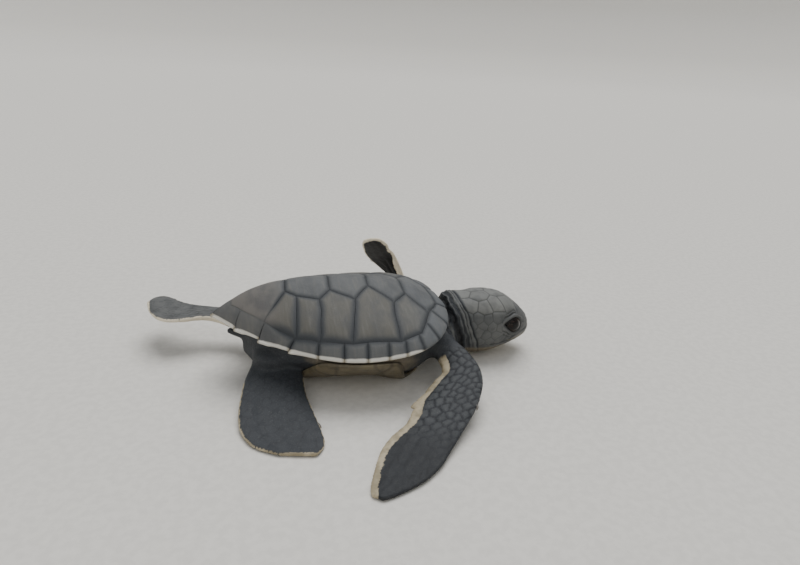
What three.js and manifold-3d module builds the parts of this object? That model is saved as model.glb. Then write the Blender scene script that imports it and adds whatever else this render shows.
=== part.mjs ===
// A hatchling green sea turtle at life size, crawling: the right front flipper planted at the end of its
// stroke, the left front flipper swept back and raised, the rear flippers alternating behind it.
// Millimetres, +Z up. The turtle heads along +X, its left is +Y, and the origin is the middle of the flat
// that its belly rests on.

import * as THREE from "three";
import Module from "manifold-3d";
import { mergeVertices } from "three/addons/utils/BufferGeometryUtils.js";

const wasm = await Module();
wasm.setup();

// ---- driving dimensions -------------------------------------------------------------------------------

const GAP = 0.3; // between neighbouring pieces
const SHELL_LENGTH = 50;
const SHELL_WIDTH = 39.7;
const RIM_HEIGHT = 10; // lowest part of the shell's rim above the floor
const DOME_HEIGHT = 10; // top of the shell above its rim
const WIDEST_X = 7.4;
const PLATE = 1.1; // thickness of a scute
const RIM_PLATE = 0.55; // its thickness along the shell's rim
const STROKE_LIFT = 0.6; // how much the stroke lifts the shell's left shoulder
const BELLY_PLATE = 1.0; // thickness of the plastron
const SNOUT_X = 46.7;

const HALF_LENGTH = SHELL_LENGTH / 2;
const HALF_WIDTH = SHELL_WIDTH / 2;
const { PI, abs, cos, sin, sign, hypot, min, max, acos } = Math;

const clamp01 = (t) => min(1, max(0, t));
const smooth = (t) => clamp01(t) ** 2 * (3 - 2 * clamp01(t));
const mix = (a, b, t) => a + (b - a) * t;

// Reads a value at x from [x, value, ...] rows in rising x, smoothly between them.
function along(rows, x, column = 1) {
  const last = rows.length - 1;
  if (x <= rows[0][0]) return rows[0][column];
  if (x >= rows[last][0]) return rows[last][column];
  const i = rows.findIndex((row) => row[0] > x) - 1;
  const [before, from, to, after] = [max(0, i - 1), i, i + 1, min(last, i + 2)].map((k) => rows[k]);
  const slope = (a, b) => (a === b ? 0 : (b[column] - a[column]) / (b[0] - a[0]));
  const span = to[0] - from[0];
  const t = (x - from[0]) / span;
  const start = (slope(before, from) + slope(from, to)) / (before === from ? 1 : 2);
  const end = (slope(from, to) + slope(to, after)) / (after === to ? 1 : 2);
  return (
    from[column] * (1 + 2 * t) * (1 - t) ** 2 +
    start * span * t * (1 - t) ** 2 +
    to[column] * t * t * (3 - 2 * t) +
    end * span * t * t * (t - 1)
  );
}

// ---- surfaces of the shell ----------------------------------------------------------------------------

// Half of the shell's width at x: blunt in front, drawn out to a point behind.
function halfWidth(x) {
  const front = clamp01((x - WIDEST_X) / (HALF_LENGTH - WIDEST_X));
  const rear = clamp01((WIDEST_X - x) / (HALF_LENGTH + WIDEST_X));
  return HALF_WIDTH * (x > WIDEST_X ? (1 - front ** 2.9) ** 0.512 : (1 - rear ** 2.05) ** 1.06);
}

// Height of the rim: it rises to both ends.
const rimHeight = (x) => RIM_HEIGHT + 3.2 * (x / HALF_LENGTH) ** 2;

// Height of the shell's upper surface over the point x, y: a low roof whose sides steepen to the rim.
function domeHeight(x, y) {
  const across = clamp01(abs(y) / max(halfWidth(x), 0.01));
  const lengthwise = 1 - abs(x / HALF_LENGTH) ** (x > 0 ? 2.3 : 2.7);
  const crosswise = 1 - 0.72 * across ** 1.15 - 0.28 * across ** 6;
  const lift = STROKE_LIFT * smooth((x - 6) / 14) * smooth((y - 1) / 9);
  return rimHeight(x) + DOME_HEIGHT * max(0, lengthwise) * crosswise + lift;
}

// Unit normal of that surface, by small differences.
function domeNormal(x, y) {
  const step = 0.25;
  const inner = x > 0 ? x - step : x + step;
  const slopeX = (domeHeight(x, y) - domeHeight(inner, y)) / (x - inner);
  const innerY = y > 0 ? y - step : y + step;
  const slopeY = abs(y) < step ? 0 : (domeHeight(x, y) - domeHeight(x, innerY)) / (y - innerY);
  return new THREE.Vector3(-slopeX, -slopeY, 1).normalize();
}

// The way into the shell from x, y: between straight down and square to its surface.
function inward(normal) {
  const way = normal.clone().multiplyScalar(-0.55);
  way.z -= 0.45;
  return way.normalize();
}

// The point that far in from the upper surface over x, y.
function shellPoint(x, y, depth) {
  return new THREE.Vector3(x, y, domeHeight(x, y)).addScaledVector(inward(domeNormal(x, y)), depth);
}

// Height over x, y of the surface that lies that far in.
function heightUnder(x, y, depth) {
  const normal = domeNormal(x, y);
  return domeHeight(x, y) + (depth * inward(normal).dot(normal)) / max(normal.z, 0.3);
}

// Half of the width of the belly's flat, widest under the shoulders.
const bellyFlat = (x) => 6 + 4 * Math.exp(-(((x - 13) / 5) ** 2));

// Height of the body's underside over the point x, y: flat in the middle and rising to the rim.
function bellyHeight(x, y) {
  const edge = max(halfWidth(x) - 1, 1);
  const flat = min(bellyFlat(x), edge * 0.7);
  const side = clamp01((abs(y) - flat) / (edge - flat));
  const ends = 5 * clamp01((-8 - x) / 13) ** 2 + 2 * clamp01((x - 16) / 6) ** 2;
  return ends + (rimHeight(x) - 1.9 - ends) * side ** 1.35;
}

// ---- making solids ------------------------------------------------------------------------------------

// A closed geometry through rings of points, with both ends closed by a fan.
function loft(rings) {
  const count = rings[0].length;
  const points = rings.flat();
  const faces = [];
  for (let i = 0; i < rings.length - 1; i++)
    for (let j = 0; j < count; j++) {
      const a = i * count + j;
      const b = i * count + ((j + 1) % count);
      faces.push(a, b, b + count, a, b + count, a + count);
    }
  for (const [start, facing] of [[0, 1], [(rings.length - 1) * count, -1]]) {
    const ring = points.slice(start, start + count);
    const middle = ring.reduce((sum, p) => sum.add(p), new THREE.Vector3()).divideScalar(count);
    points.push(middle);
    for (let j = 0; j < count; j++) {
      const a = start + j;
      const b = start + ((j + 1) % count);
      faces.push(...(facing > 0 ? [b, a, points.length - 1] : [a, b, points.length - 1]));
    }
  }
  return closedGeometry(points, faces);
}

// A geometry from points and faces, turned so that its faces point out.
function closedGeometry(points, faces) {
  let volume = 0;
  for (let i = 0; i < faces.length; i += 3) {
    const [a, b, c] = [points[faces[i]], points[faces[i + 1]], points[faces[i + 2]]];
    volume += a.dot(new THREE.Vector3().crossVectors(b, c));
  }
  if (volume < 0)
    for (let i = 0; i < faces.length; i += 3) [faces[i], faces[i + 1]] = [faces[i + 1], faces[i]];
  const geometry = new THREE.BufferGeometry().setFromPoints(points);
  geometry.setIndex(faces);
  return geometry;
}

function toSolid(geometry) {
  const bare = new THREE.BufferGeometry().setAttribute("position", geometry.getAttribute("position"));
  bare.setIndex(geometry.getIndex());
  const merged = mergeVertices(bare, 1e-4);
  return new wasm.Manifold(
    new wasm.Mesh({
      numProp: 3,
      vertProperties: new Float32Array(merged.attributes.position.array),
      triVerts: new Uint32Array(merged.index.array),
    }),
  );
}

function toGeometry(solid) {
  const { numProp, vertProperties, triVerts } = solid.getMesh();
  const points = [];
  for (let i = 0; i < vertProperties.length; i += numProp)
    points.push(new THREE.Vector3(...vertProperties.slice(i, i + 3)));
  return closedGeometry(points, [...triVerts]);
}

// What stays of a solid outside the cutters, as its largest piece.
function cutBy(solid, ...cutters) {
  const rest = cutters.reduce((left, cutter) => left.subtract(cutter), solid);
  return rest.decompose().sort((a, b) => b.volume() - a.volume())[0];
}

// A large box that covers everything on one side of the plane through point, square to normal.
function halfSpace(point, normal) {
  const size = 200;
  const box = new THREE.BoxGeometry(size, size, size);
  const turn = new THREE.Quaternion().setFromUnitVectors(new THREE.Vector3(0, 0, 1), normal);
  box.translate(0, 0, size / 2).applyQuaternion(turn).translate(point.x, point.y, point.z);
  return toSolid(box);
}

// Parts a solid in two at a plane, half a gap back on each side: the side that normal points to comes second.
function partAt(solid, point, normal) {
  const back = point.clone().addScaledVector(normal, -GAP / 2);
  const ahead = point.clone().addScaledVector(normal, GAP / 2);
  return [
    cutBy(solid, halfSpace(back, normal)),
    cutBy(solid, halfSpace(ahead, normal.clone().negate())),
  ];
}

// ---- materials ----------------------------------------------------------------------------------------

const finish = (color, roughness) => new THREE.MeshStandardMaterial({ color, roughness, metalness: 0 });
const MATERIALS = {
  scute: finish(0x5c5f61, 0.55),
  plastron: finish(0xb9ad93, 0.5),
  skin: finish(0x3a3b3d, 0.65),
  beak: finish(0x2f2f30, 0.4),
  eye: finish(0x0b0a0a, 0.08),
  claw: finish(0x4a4640, 0.4),
};

const turtle = new THREE.Group();

function add(name, geometry, material) {
  const mesh = new THREE.Mesh(geometry, MATERIALS[material]);
  mesh.name = name;
  turtle.add(mesh);
}

// ---- carapace: scutes ---------------------------------------------------------------------------------

// Corners of a polygon moved in by a distance, along the normals of the edges that meet there.
function inset(corners, distance) {
  const count = corners.length;
  const cross = corners.map(([x, y], i) => {
    const [nextX, nextY] = corners[(i + 1) % count];
    return x * nextY - nextX * y;
  });
  const turn = sign(cross.reduce((sum, part) => sum + part, 0));
  const normal = (from, to) => {
    const length = hypot(to[0] - from[0], to[1] - from[1]) || 1;
    return [(-(to[1] - from[1]) / length) * turn, ((to[0] - from[0]) / length) * turn];
  };
  return corners.map((corner, i) => {
    const before = normal(corners[(i + count - 1) % count], corner);
    const after = normal(corner, corners[(i + 1) % count]);
    const bisector = [before[0] + after[0], before[1] + after[1]];
    const share = (2 * distance) / max(0.5, bisector[0] ** 2 + bisector[1] ** 2);
    return [corner[0] + bisector[0] * share, corner[1] + bisector[1] * share];
  });
}

// Points along the closed line through the corners, no further apart than reach.
function divide(corners, reach) {
  return corners.flatMap(([x, y], i) => {
    const [nextX, nextY] = corners[(i + 1) % corners.length];
    const steps = max(1, Math.round(hypot(nextX - x, nextY - y) / reach));
    return Array.from({ length: steps }, (_, k) => [mix(x, nextX, k / steps), mix(y, nextY, k / steps)]);
  });
}

// A scute over the polygon: its top follows the dome and is a little crowned. Its edges go down to PLATE,
// and thin out along the shell's rim.
function scute(corners, reach) {
  const edge = divide(inset(corners, GAP / 2), reach);
  const middle = [0, 1].map((k) => edge.reduce((sum, p) => sum + p[k], 0) / edge.length);
  const ring = (size, depth) =>
    edge.map(([x, y]) => shellPoint(mix(middle[0], x, size), mix(middle[1], y, size), depth));
  const foot = edge.map(([x, y]) => shellPoint(x, y, halfWidth(x) - abs(y) < 0.5 ? RIM_PLATE : PLATE));
  return loft([ring(0.5, PLATE), foot, ring(1, 0.05), ring(0.55, -0.1)]);
}

// All corners are those of the left half, [x, y]. `onSide` takes them to the side it is given.
const onSide = (corners, side) => corners.map(([x, y]) => [x, side * y]);

// The seams across the middle row from neck to tail, and the outermost corners of its scutes.
const ROW_JOINTS = [[21.9, 4.6], [15, 4.4], [7.3, 3.6], [-0.9, 4.2], [-9.8, 3.2], [-20.4, 1.5]];
const ROW_APEXES = [[11.5, 8.1], [3.5, 7.4], [-5.6, 6.3]];
// The fourth middle scute has two such corners on the right, where an extra costal meets it.
const EXTRA_APEXES = [[-3.3, 6.3], [-8, 5]];
// The line that parts the costals from the marginals.
const INNER_LINE = [
  ROW_JOINTS[5], [-14.5, 7.9], [-8.9, 13], [-4.6, 15], [1.6, 16.6], [10.6, 17.4], [15.3, 15.8], [18.6, 9.8],
  ROW_JOINTS[0],
];
// The seams between the marginals from the neck to the tail, as x at the rim and x on that line.
const MARGINAL_SEAMS = [
  [24.35, 21.9], [22.3, 19.4], [19, 16.9], [15.2, 14.6], [11.5, 11.6], [7.9, 8.3], [3.8, 4.3], [-0.6, -0.1],
  [-5.3, -4.8], [-10.5, -9.1], [-15.8, -14.3], [-20.1, -18.6], [-HALF_LENGTH, -20.4],
];

function innerPoint(x) {
  const i = max(1, INNER_LINE.findIndex((corner) => corner[0] >= x - 1e-9));
  const [from, to] = [INNER_LINE[i - 1], INNER_LINE[i]];
  return [x, mix(from[1], to[1], (x - from[0]) / (to[0] - from[0]))];
}

// Corners along the inner line from one x to another, in that order.
function innerRun(from, to) {
  const between = INNER_LINE.filter(([x]) => x > min(from, to) + 0.4 && x < max(from, to) - 0.4);
  if (from > to) between.reverse();
  return [innerPoint(from), ...between, innerPoint(to)];
}

// Corners along the rim from one x to another, evenly by angle.
function rimRun(from, to, steps) {
  const angle = (x) => acos(clamp01((x / HALF_LENGTH + 1) / 2) * 2 - 1);
  return Array.from({ length: steps + 1 }, (_, k) => {
    const x = max(HALF_LENGTH * cos(mix(angle(from), angle(to), k / steps)), 0.02 - HALF_LENGTH);
    return [x, halfWidth(x)];
  });
}

function addMiddleRow() {
  const left = [innerRun(21.9, 18.6).slice(1), [ROW_APEXES[0]], [ROW_APEXES[1]], [ROW_APEXES[2]]];
  left.push(innerRun(-14.5, -20.4).slice(0, -1));
  const right = left.map((corners, i) => (i === 3 ? EXTRA_APEXES : corners));
  const outline = (outer, i) => [ROW_JOINTS[i], ...outer[i], ROW_JOINTS[i + 1]];
  for (let i = 0; i < 5; i++)
    add(`vertebral_${i + 1}`, scute([...outline(left, i), ...onSide(outline(right, i), -1).reverse()], 3.4), "scute");
}

function addSideRows() {
  const [, second, third, fourth, fifth] = ROW_JOINTS;
  const [apexOne, apexTwo, apexThree] = ROW_APEXES;
  const [extraFront, extraRear] = EXTRA_APEXES;
  const front = [
    [second, ...innerRun(18.6, 10.6), apexOne],
    [third, apexOne, ...innerRun(10.6, 1.6), apexTwo],
  ];
  const left = [
    ...front,
    [fourth, apexTwo, ...innerRun(1.6, -6.4), apexThree],
    [fifth, apexThree, ...innerRun(-6.4, -14.5)],
  ];
  const right = [
    ...front,
    [fourth, apexTwo, ...innerRun(1.6, -4.6), extraFront],
    [extraFront, ...innerRun(-4.6, -8.9), extraRear],
    [fifth, extraRear, ...innerRun(-8.9, -14.5)],
  ];
  left.forEach((corners, i) => add(`costal_left_${i + 1}`, scute(corners, 3.2), "scute"));
  right.forEach((corners, i) => add(`costal_right_${i + 1}`, scute(onSide(corners, -1), 3.2), "scute"));
}

function addRim() {
  const front = rimRun(24.35, HALF_LENGTH - 0.01, 2);
  const half = [ROW_JOINTS[0], ...front.slice(0, -1)];
  add("nuchal", scute([...half, [HALF_LENGTH - 0.01, 0], ...onSide(half, -1).reverse()], 2.4), "scute");
  for (let i = 0; i < 12; i++) {
    const [from, to] = [MARGINAL_SEAMS[i], MARGINAL_SEAMS[i + 1]];
    const corners = [...rimRun(from[0], to[0], 2), ...innerRun(to[1], from[1])];
    // The last pair meets behind the fifth vertebral.
    if (i === 11) corners.splice(3, 0, [-20.4, 0]);
    add(`marginal_left_${i + 1}`, scute(corners, 2.6), "scute");
    add(`marginal_right_${i + 1}`, scute(onSide(corners, -1), 2.6), "scute");
  }
}

addMiddleRow();
addSideRows();
addRim();

// ---- trunk and plastron -------------------------------------------------------------------------------

// Half widths [x, width] of the flesh under the shell and of the plastron, from the tail to the neck.
const TRUNK = [
  [-18.4, 1.4], [-17, 4.1], [-15, 6.6], [-10, 10.7], [-5, 14.2], [0, 16.6], [6, 17.8], [12, 16.8], [16, 14],
  [19, 11.5], [22, 8.7],
];
const PLASTRON = [
  [-16, 0.8], [-15, 3], [-12, 5.8], [-8.5, 7.8], [-6.2, 12.5], [-4, 16], [2, 18.1], [8, 18.3], [11.2, 16.8],
  [13.5, 12.2], [16, 9.2], [18, 6.6], [19, 3],
];

const spread = (from, to, steps) => Array.from({ length: steps + 1 }, (_, i) => mix(from, to, i / steps));

// A closed body between two surfaces given over x, y, within the half widths of the rows.
function between(rows, steps, across, bottom, top, grow) {
  const stations = spread(rows[0][0], rows[rows.length - 1][0], steps);
  const rings = stations.map((station, i) => {
    const x = station + (i === 0 ? -grow : i === steps ? grow : 0);
    const width = along(rows, station) + grow;
    const under = spread(-1, 1, across).map((t) => bottom(x, t * width));
    const over = spread(1, -1, across).map((t) => top(x, t * width));
    return [...under, ...over];
  });
  return loft(rings);
}

const atHeight = (x, y, z) => new THREE.Vector3(x, y, z);

function trunkBody(grow = 0) {
  const bottom = (x, y) => atHeight(x, y, bellyHeight(x, y) + BELLY_PLATE + 2.4 * GAP - grow);
  const top = (x, y) => atHeight(x, y, heightUnder(x, y, PLATE + 2.8 * GAP) + grow);
  return toSolid(between(TRUNK, 16, 14, bottom, top, grow));
}

function plastronBody(grow = 0) {
  const bottom = (x, y) => atHeight(x, y, bellyHeight(x, y) - grow);
  const top = (x, y) => atHeight(x, y, bellyHeight(x, y) + BELLY_PLATE + grow);
  return toSolid(between(PLASTRON, 16, 14, bottom, top, grow));
}

const besideBody = [trunkBody(GAP), plastronBody(GAP)];
add("trunk", toGeometry(trunkBody()), "skin");
add("plastron", toGeometry(plastronBody()), "plastron");

// ---- head, neck and tail ------------------------------------------------------------------------------

// Rings across X from [x, top, bottom, half width] rows, a little squarer than an ellipse.
function barrel(rows, sides) {
  return rows.map(([x, top, bottom, width]) =>
    Array.from({ length: sides }, (_, j) => {
      const angle = (2 * PI * (j + 0.5)) / sides;
      const [c, s] = [cos(angle), sin(angle)];
      const out = 1 / (abs(c) ** 2.25 + abs(s) ** 2.25) ** (1 / 2.25);
      return atHeight(x, width * c * out, (top + bottom) / 2 + ((top - bottom) / 2) * s * out);
    }),
  );
}

const NECK = [
  [19.5, 10.6, 3.6, 6], [22, 11, 2.8, 6.6], [24.8, 11.7, 1.9, 6.7], [25.4, 13.1, 1.6, 6.8], [26.4, 14.3, 1.3, 6.8],
  [28.5, 14.4, 0.8, 6.6], [30, 14.3, 0.5, 6.5], [31, 14.3, 0.4, 6.5],
];
const HEAD = [
  [31.3, 14.4, 0.4, 6.6], [32.8, 14.6, 0.3, 6.9], [34.6, 14.6, 0.4, 7.1], [36.5, 14.4, 0.8, 7.1], [38.4, 14, 1.3, 6.7],
  [40.2, 13.3, 1.7, 6.1], [41.9, 12.1, 2.2, 5.3], [43.4, 10.9, 2.7, 4.3], [44.8, 9.5, 3.2, 3.2], [45.9, 8.2, 3.8, 1.9],
  [SNOUT_X - 0.2, 7, 4.8, 0.9],
];
const EYE = { x: 39.9, y: 4.3, z: 8.2, radius: 2.7 };
// Side view of the lower jaw's reach, [x, z].
const JAW = [[37.6, 4.8], [48, 4.2], [48, -1], [34.4, -1]];

function ball(radius, side) {
  const geometry = new THREE.IcosahedronGeometry(radius, 3);
  return toSolid(geometry.translate(EYE.x, side * EYE.y, EYE.z));
}

// A prism across Y through a side view of [x, z] corners.
function acrossPrism(corners) {
  const shape = new THREE.Shape(corners.map(([x, z]) => new THREE.Vector2(x, z)));
  const geometry = new THREE.ExtrudeGeometry(shape, { depth: 30, bevelEnabled: false });
  return toSolid(geometry.rotateX(PI / 2).translate(0, 15, 0));
}

function addHead() {
  add("neck", toGeometry(cutBy(toSolid(loft(barrel(NECK, 20))), ...besideBody)), "skin");
  const whole = toSolid(loft(barrel(HEAD, 22)));
  const sockets = [-1, 1].map((side) => ball(EYE.radius + GAP, side));
  add("head", toGeometry(cutBy(whole, acrossPrism(inset(JAW, -GAP)), ...sockets)), "skin");
  add("lower_jaw", toGeometry(cutBy(whole.intersect(acrossPrism(JAW)))), "beak");
  for (const [name, side] of [["right", -1], ["left", 1]])
    add(`eye_${name}`, toGeometry(ball(EYE.radius, side)), "eye");
}
addHead();

const TAIL = [[-15.8, 10.2, 6.4, 1.8], [-18.6, 10, 7.2, 1.5], [-20.4, 9.8, 8, 1], [-21.6, 9.5, 8.6, 0.45]];
add("tail", toGeometry(cutBy(toSolid(loft(barrel(TAIL, 10))), ...besideBody)), "skin");

// ---- flippers -----------------------------------------------------------------------------------------

// Each row is a station from the body to the tip: the leading edge, the trailing edge, and the thickness.
const FLIPPERS = {
  front_right: [
    [[24, -7, 7.8], [17.6, -8, 6.2], 3.4],
    [[26.2, -12.6, 6.9], [19.9, -13, 5.2], 3],
    [[27.1, -18.4, 6], [19.5, -17.4, 4.6], 2.6],
    [[26.3, -22.8, 5.1], [17, -19.4, 3.9], 2.2],
    [[24.4, -26.4, 4.2], [14, -22.3, 3], 1.9],
    [[21.9, -29.7, 3.2], [11.3, -25.3, 2.2], 1.7],
    [[18.6, -33.2, 2.2], [9.1, -28.3, 1.5], 1.5],
    [[15.1, -36.8, 1.3], [5.7, -30.9, 1], 1.3],
    [[12.1, -40.1, 0.8], [3, -34, 0.7], 1.2],
    [[8.2, -43, 0.6], [1, -38.1, 0.55], 1.1],
    [[3.6, -44.9, 0.5], [-0.6, -42, 0.5], 0.9],
    [[0.8, -45.6, 0.5], [-1, -44.2, 0.5], 0.7],
  ],
  front_left: [
    [[24, 8, 7.8], [17.6, 9, 6.2], 3.4],
    [[26.4, 13.6, 6.6], [20.2, 15, 5.2], 3],
    [[28, 19.6, 5], [21.4, 19.6, 4.8], 2.6],
    [[27.6, 25.4, 4.4], [22.4, 21.6, 5.4], 2.3],
    [[24.6, 29, 5.2], [23.2, 23.2, 7.2], 2],
    [[20.6, 30.8, 8], [23.2, 25, 9.5], 1.8],
    [[17.7, 31.4, 10.2], [21.4, 24.6, 13.6], 1.6],
    [[15.5, 30.6, 12.2], [19.9, 23.5, 16.2], 1.4],
    [[13.6, 28.6, 14.5], [18.2, 21.6, 17.9], 1.2],
    [[12.3, 25.6, 17], [17, 19.2, 20], 1.1],
    [[11.3, 22.6, 19.1], [14.6, 17.6, 21.9], 0.9],
    [[11.1, 20.2, 20.9], [12.4, 17.8, 22], 0.7],
  ],
  rear_right: [
    [[-8.4, -5, 5.6], [-16.6, -5, 5], 3],
    [[-7.4, -10.5, 3.6], [-18.6, -9.8, 3.4], 2.4],
    [[-7.4, -16, 2.3], [-19.8, -15.4, 2.2], 1.9],
    [[-6.6, -21.5, 1.3], [-20.4, -20.6, 1.3], 1.6],
    [[-5.9, -26.6, 0.7], [-19.9, -24.8, 0.7], 1.4],
    [[-6, -30.4, 0.5], [-18, -28.4, 0.5], 1.1],
    [[-7.6, -32.8, 0.5], [-14, -31.3, 0.5], 0.8],
  ],
  rear_left: [
    [[-11.5, 8.6, 6.4], [-17, 4.8, 5.4], 3],
    [[-16.2, 12.9, 6.7], [-21.4, 8.6, 6], 2.5],
    [[-21.4, 14.8, 7.2], [-24.4, 10.3, 6.7], 2.1],
    [[-26.2, 16, 7.6], [-27.2, 10.3, 7.3], 1.8],
    [[-30.6, 18, 7.9], [-30.8, 9, 7.7], 1.6],
    [[-34.7, 22.4, 8], [-34.4, 9, 7.9], 1.3],
    [[-37.4, 22.5, 8], [-36.8, 11.4, 8], 1.1],
    [[-39.1, 19.6, 8], [-38.4, 15.4, 8], 0.8],
  ],
};
// Where on each flipper's leading edge its claw sits, as a station number, and the claw's length.
const CLAWS = { front_right: 4.6, front_left: 6.6, rear_right: 3.6, rear_left: 4.6 };
const CLAW_LENGTH = 1.3;

// The up side of a flipper at a station is square to its width and to the way it runs.
function flipperFrame(rows, i) {
  const [lead, trail] = rows[i].slice(0, 2).map((p) => new THREE.Vector3(...p));
  const middle = (row) => new THREE.Vector3(...row[0]).add(new THREE.Vector3(...row[1])).multiplyScalar(0.5);
  const run = middle(rows[min(i + 1, rows.length - 1)]).sub(middle(rows[max(i - 1, 0)]));
  const up = new THREE.Vector3().crossVectors(run, trail.clone().sub(lead)).normalize();
  return { lead, trail, up };
}

// A blade: thickest a third back from the leading edge, thin but blunt at both edges.
function blade(rows) {
  const profile = [[0, 0], [0.04, 0.55], [0.14, 0.86], [0.32, 1], [0.55, 0.88], [0.8, 0.64], [0.96, 0.4], [1, 0]];
  const rings = rows.map((row, i) => {
    const { lead, trail, up } = flipperFrame(rows, i);
    const place = ([across, height], side) =>
      lead.clone().lerp(trail, across).addScaledVector(up, side * height * 0.5 * row[2]);
    return [...profile.map((p) => place(p, 1)), ...profile.slice(1, -1).reverse().map((p) => place(p, -1))];
  });
  return toSolid(loft(rings));
}

function clawOn(rows, station) {
  const i = Math.floor(station);
  const t = station - i;
  const [from, to] = [flipperFrame(rows, i), flipperFrame(rows, i + 1)];
  const place = from.lead.clone().lerp(to.lead, t);
  const out = place.clone().sub(from.trail.clone().lerp(to.trail, t)).normalize();
  const onward = to.lead.clone().sub(from.lead).normalize();
  const point = out.clone().multiplyScalar(0.8).add(onward).normalize();
  const cone = new THREE.ConeGeometry(0.4, CLAW_LENGTH, 8);
  cone.applyQuaternion(new THREE.Quaternion().setFromUnitVectors(new THREE.Vector3(0, 1, 0), point));
  place.addScaledVector(point, CLAW_LENGTH / 2).addScaledVector(out, 1.6 * GAP);
  return cone.translate(place.x, place.y, place.z);
}

const underFloor = halfSpace(new THREE.Vector3(0, 0, 0), new THREE.Vector3(0, 0, -1));
for (const [name, rows] of Object.entries(FLIPPERS)) {
  const [pair, side] = name.split("_");
  add(`${pair}_flipper_${side}`, toGeometry(cutBy(blade(rows), underFloor, ...besideBody)), "skin");
  add(`claw_${name}`, clawOn(rows, CLAWS[name]), "claw");
}

export default turtle;
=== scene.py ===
"""A hatchling green sea turtle at life size, crawling, with the looks of its horn, hide and eyes.

Lengths in this file are millimetres until a mesh is made, and metres after that, in the settings and on the
stage. The turtle heads along +X, its left is +Y, and the floor is at z = 0. The shell's formulas are those of
the solids that it dresses.
"""

import math

import bmesh
import bpy
import numpy as np
from mathutils import Matrix, Vector, kdtree, noise


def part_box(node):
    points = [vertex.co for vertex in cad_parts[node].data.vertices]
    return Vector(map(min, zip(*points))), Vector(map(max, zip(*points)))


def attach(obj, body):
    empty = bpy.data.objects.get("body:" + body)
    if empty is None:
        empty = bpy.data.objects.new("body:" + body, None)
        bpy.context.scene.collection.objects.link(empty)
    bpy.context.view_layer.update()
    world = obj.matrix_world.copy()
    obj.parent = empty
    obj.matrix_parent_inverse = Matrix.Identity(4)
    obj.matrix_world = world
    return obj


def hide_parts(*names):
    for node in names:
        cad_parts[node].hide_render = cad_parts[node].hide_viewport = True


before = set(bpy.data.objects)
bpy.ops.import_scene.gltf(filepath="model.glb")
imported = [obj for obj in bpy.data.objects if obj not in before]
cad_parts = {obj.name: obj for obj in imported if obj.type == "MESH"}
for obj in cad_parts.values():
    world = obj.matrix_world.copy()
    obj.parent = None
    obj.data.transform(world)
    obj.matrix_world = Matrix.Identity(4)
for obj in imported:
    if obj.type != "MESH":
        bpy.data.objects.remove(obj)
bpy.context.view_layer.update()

bl_info = {
    "name": "Sea turtle hatchling",
    "version": (1, 0, 0),
    "blender": (4, 5, 0),
    "location": "3D View > Sidebar > Turtle",
    "description": "Builds the shell, hide, eyes and claws of a hatchling green sea turtle",
    "category": "Add Mesh",
}

MM = 0.001

# ---- numbers shared by the pieces ---------------------------------------------------------------------


def linear(code):
    """Linear colour of an sRGB hex value."""
    parts = [((code >> shift) & 255) / 255 for shift in (16, 8, 0)]
    return tuple(p / 12.92 if p <= 0.04045 else ((p + 0.055) / 1.055) ** 2.4 for p in parts)


def node_span(*nodes):
    """Lowest and highest corner of some nodes together, in mm."""
    corners = np.array([[list(corner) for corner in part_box(node)] for node in nodes]) / MM
    return corners[:, 0].min(0), corners[:, 1].max(0)


SCUTES = [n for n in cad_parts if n.startswith(("nuchal", "vertebral", "costal", "marginal"))]
SHELL_LOW, SHELL_HIGH = node_span(*SCUTES)
# The gap that the solids leave between neighbours.
GAP = 0.3
HALF_LENGTH = round((SHELL_HIGH[0] - SHELL_LOW[0]) / 2, 1)
HALF_WIDTH = round((SHELL_HIGH[1] - SHELL_LOW[1] + GAP) / 2, 2)
# Height of the shell's rim above the floor where it is lowest, and of its top above that.
RIM_HEIGHT = 10.0
DOME_HEIGHT = 10.0
# Where the shell is widest.
WIDEST_X = 7.4
# Thickness of a scute, of its part along the rim, and of the plastron.
PLATE = 1.1
RIM_PLATE = 0.55
BELLY_PLATE = 1.0
# How much the stroke lifts the shell's left shoulder.
STROKE_LIFT = 0.6
# Power of the sections of body and head, which are a little squarer than an ellipse.
SECTION_POWER = 2.25
# Steps of a flipper's surface between two of its stations.
STATION_STEPS = 7
# Distance to a seam that stands for none near, and to an edge where there is none.
NO_SEAM = 2.0
NO_EDGE = 9.0


def clamp01(t):
    return np.clip(t, 0.0, 1.0)


def smooth(t):
    """0 to 1 with soft ends."""
    t = clamp01(t)
    return t * t * (3 - 2 * t)


def bump_at(distance, width):
    """1 at no distance, falling off as a bell of that half width."""
    return np.exp(-((distance / width) ** 2))


def unit(vectors):
    return vectors / np.maximum(np.linalg.norm(vectors, axis=-1, keepdims=True), 1e-9)


def circle(count):
    """Angles evenly spaced round a circle."""
    return np.linspace(0, 2 * np.pi, count, endpoint=False)


def along(rows, x):
    """Values at x from rows that start with x, smoothly between the rows, one column for each value."""
    rows = np.asarray(rows, float)
    places = rows[:, 0]
    slopes = np.diff(rows[:, 1:], axis=0) / np.diff(places)[:, None]
    ends = np.concatenate([slopes[:1], (slopes[:-1] + slopes[1:]) / 2, slopes[-1:]])
    x = np.clip(np.asarray(x, float), places[0], places[-1])
    i = np.clip(np.searchsorted(places, x, side="right") - 1, 0, len(places) - 2)
    span = (places[i + 1] - places[i])[..., None]
    t = (x - places[i])[..., None] / span
    start, end = rows[i, 1:], rows[i + 1, 1:]
    leave, arrive = ends[i] * span, ends[i + 1] * span
    return (
        start * (1 + 2 * t) * (1 - t) ** 2
        + leave * t * (1 - t) ** 2
        + end * t * t * (3 - 2 * t)
        + arrive * t * t * (t - 1)
    )


def noise_at(points, size, seed=0):
    """Smooth noise from -1 to 1 at points in mm, with features of that size."""
    shift = Vector((seed * 17.3, seed * 5.1, seed * 9.7))
    return np.array([noise.noise(Vector(p) / size + shift) for p in points])


# ---- surfaces of the shell ----------------------------------------------------------------------------


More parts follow.
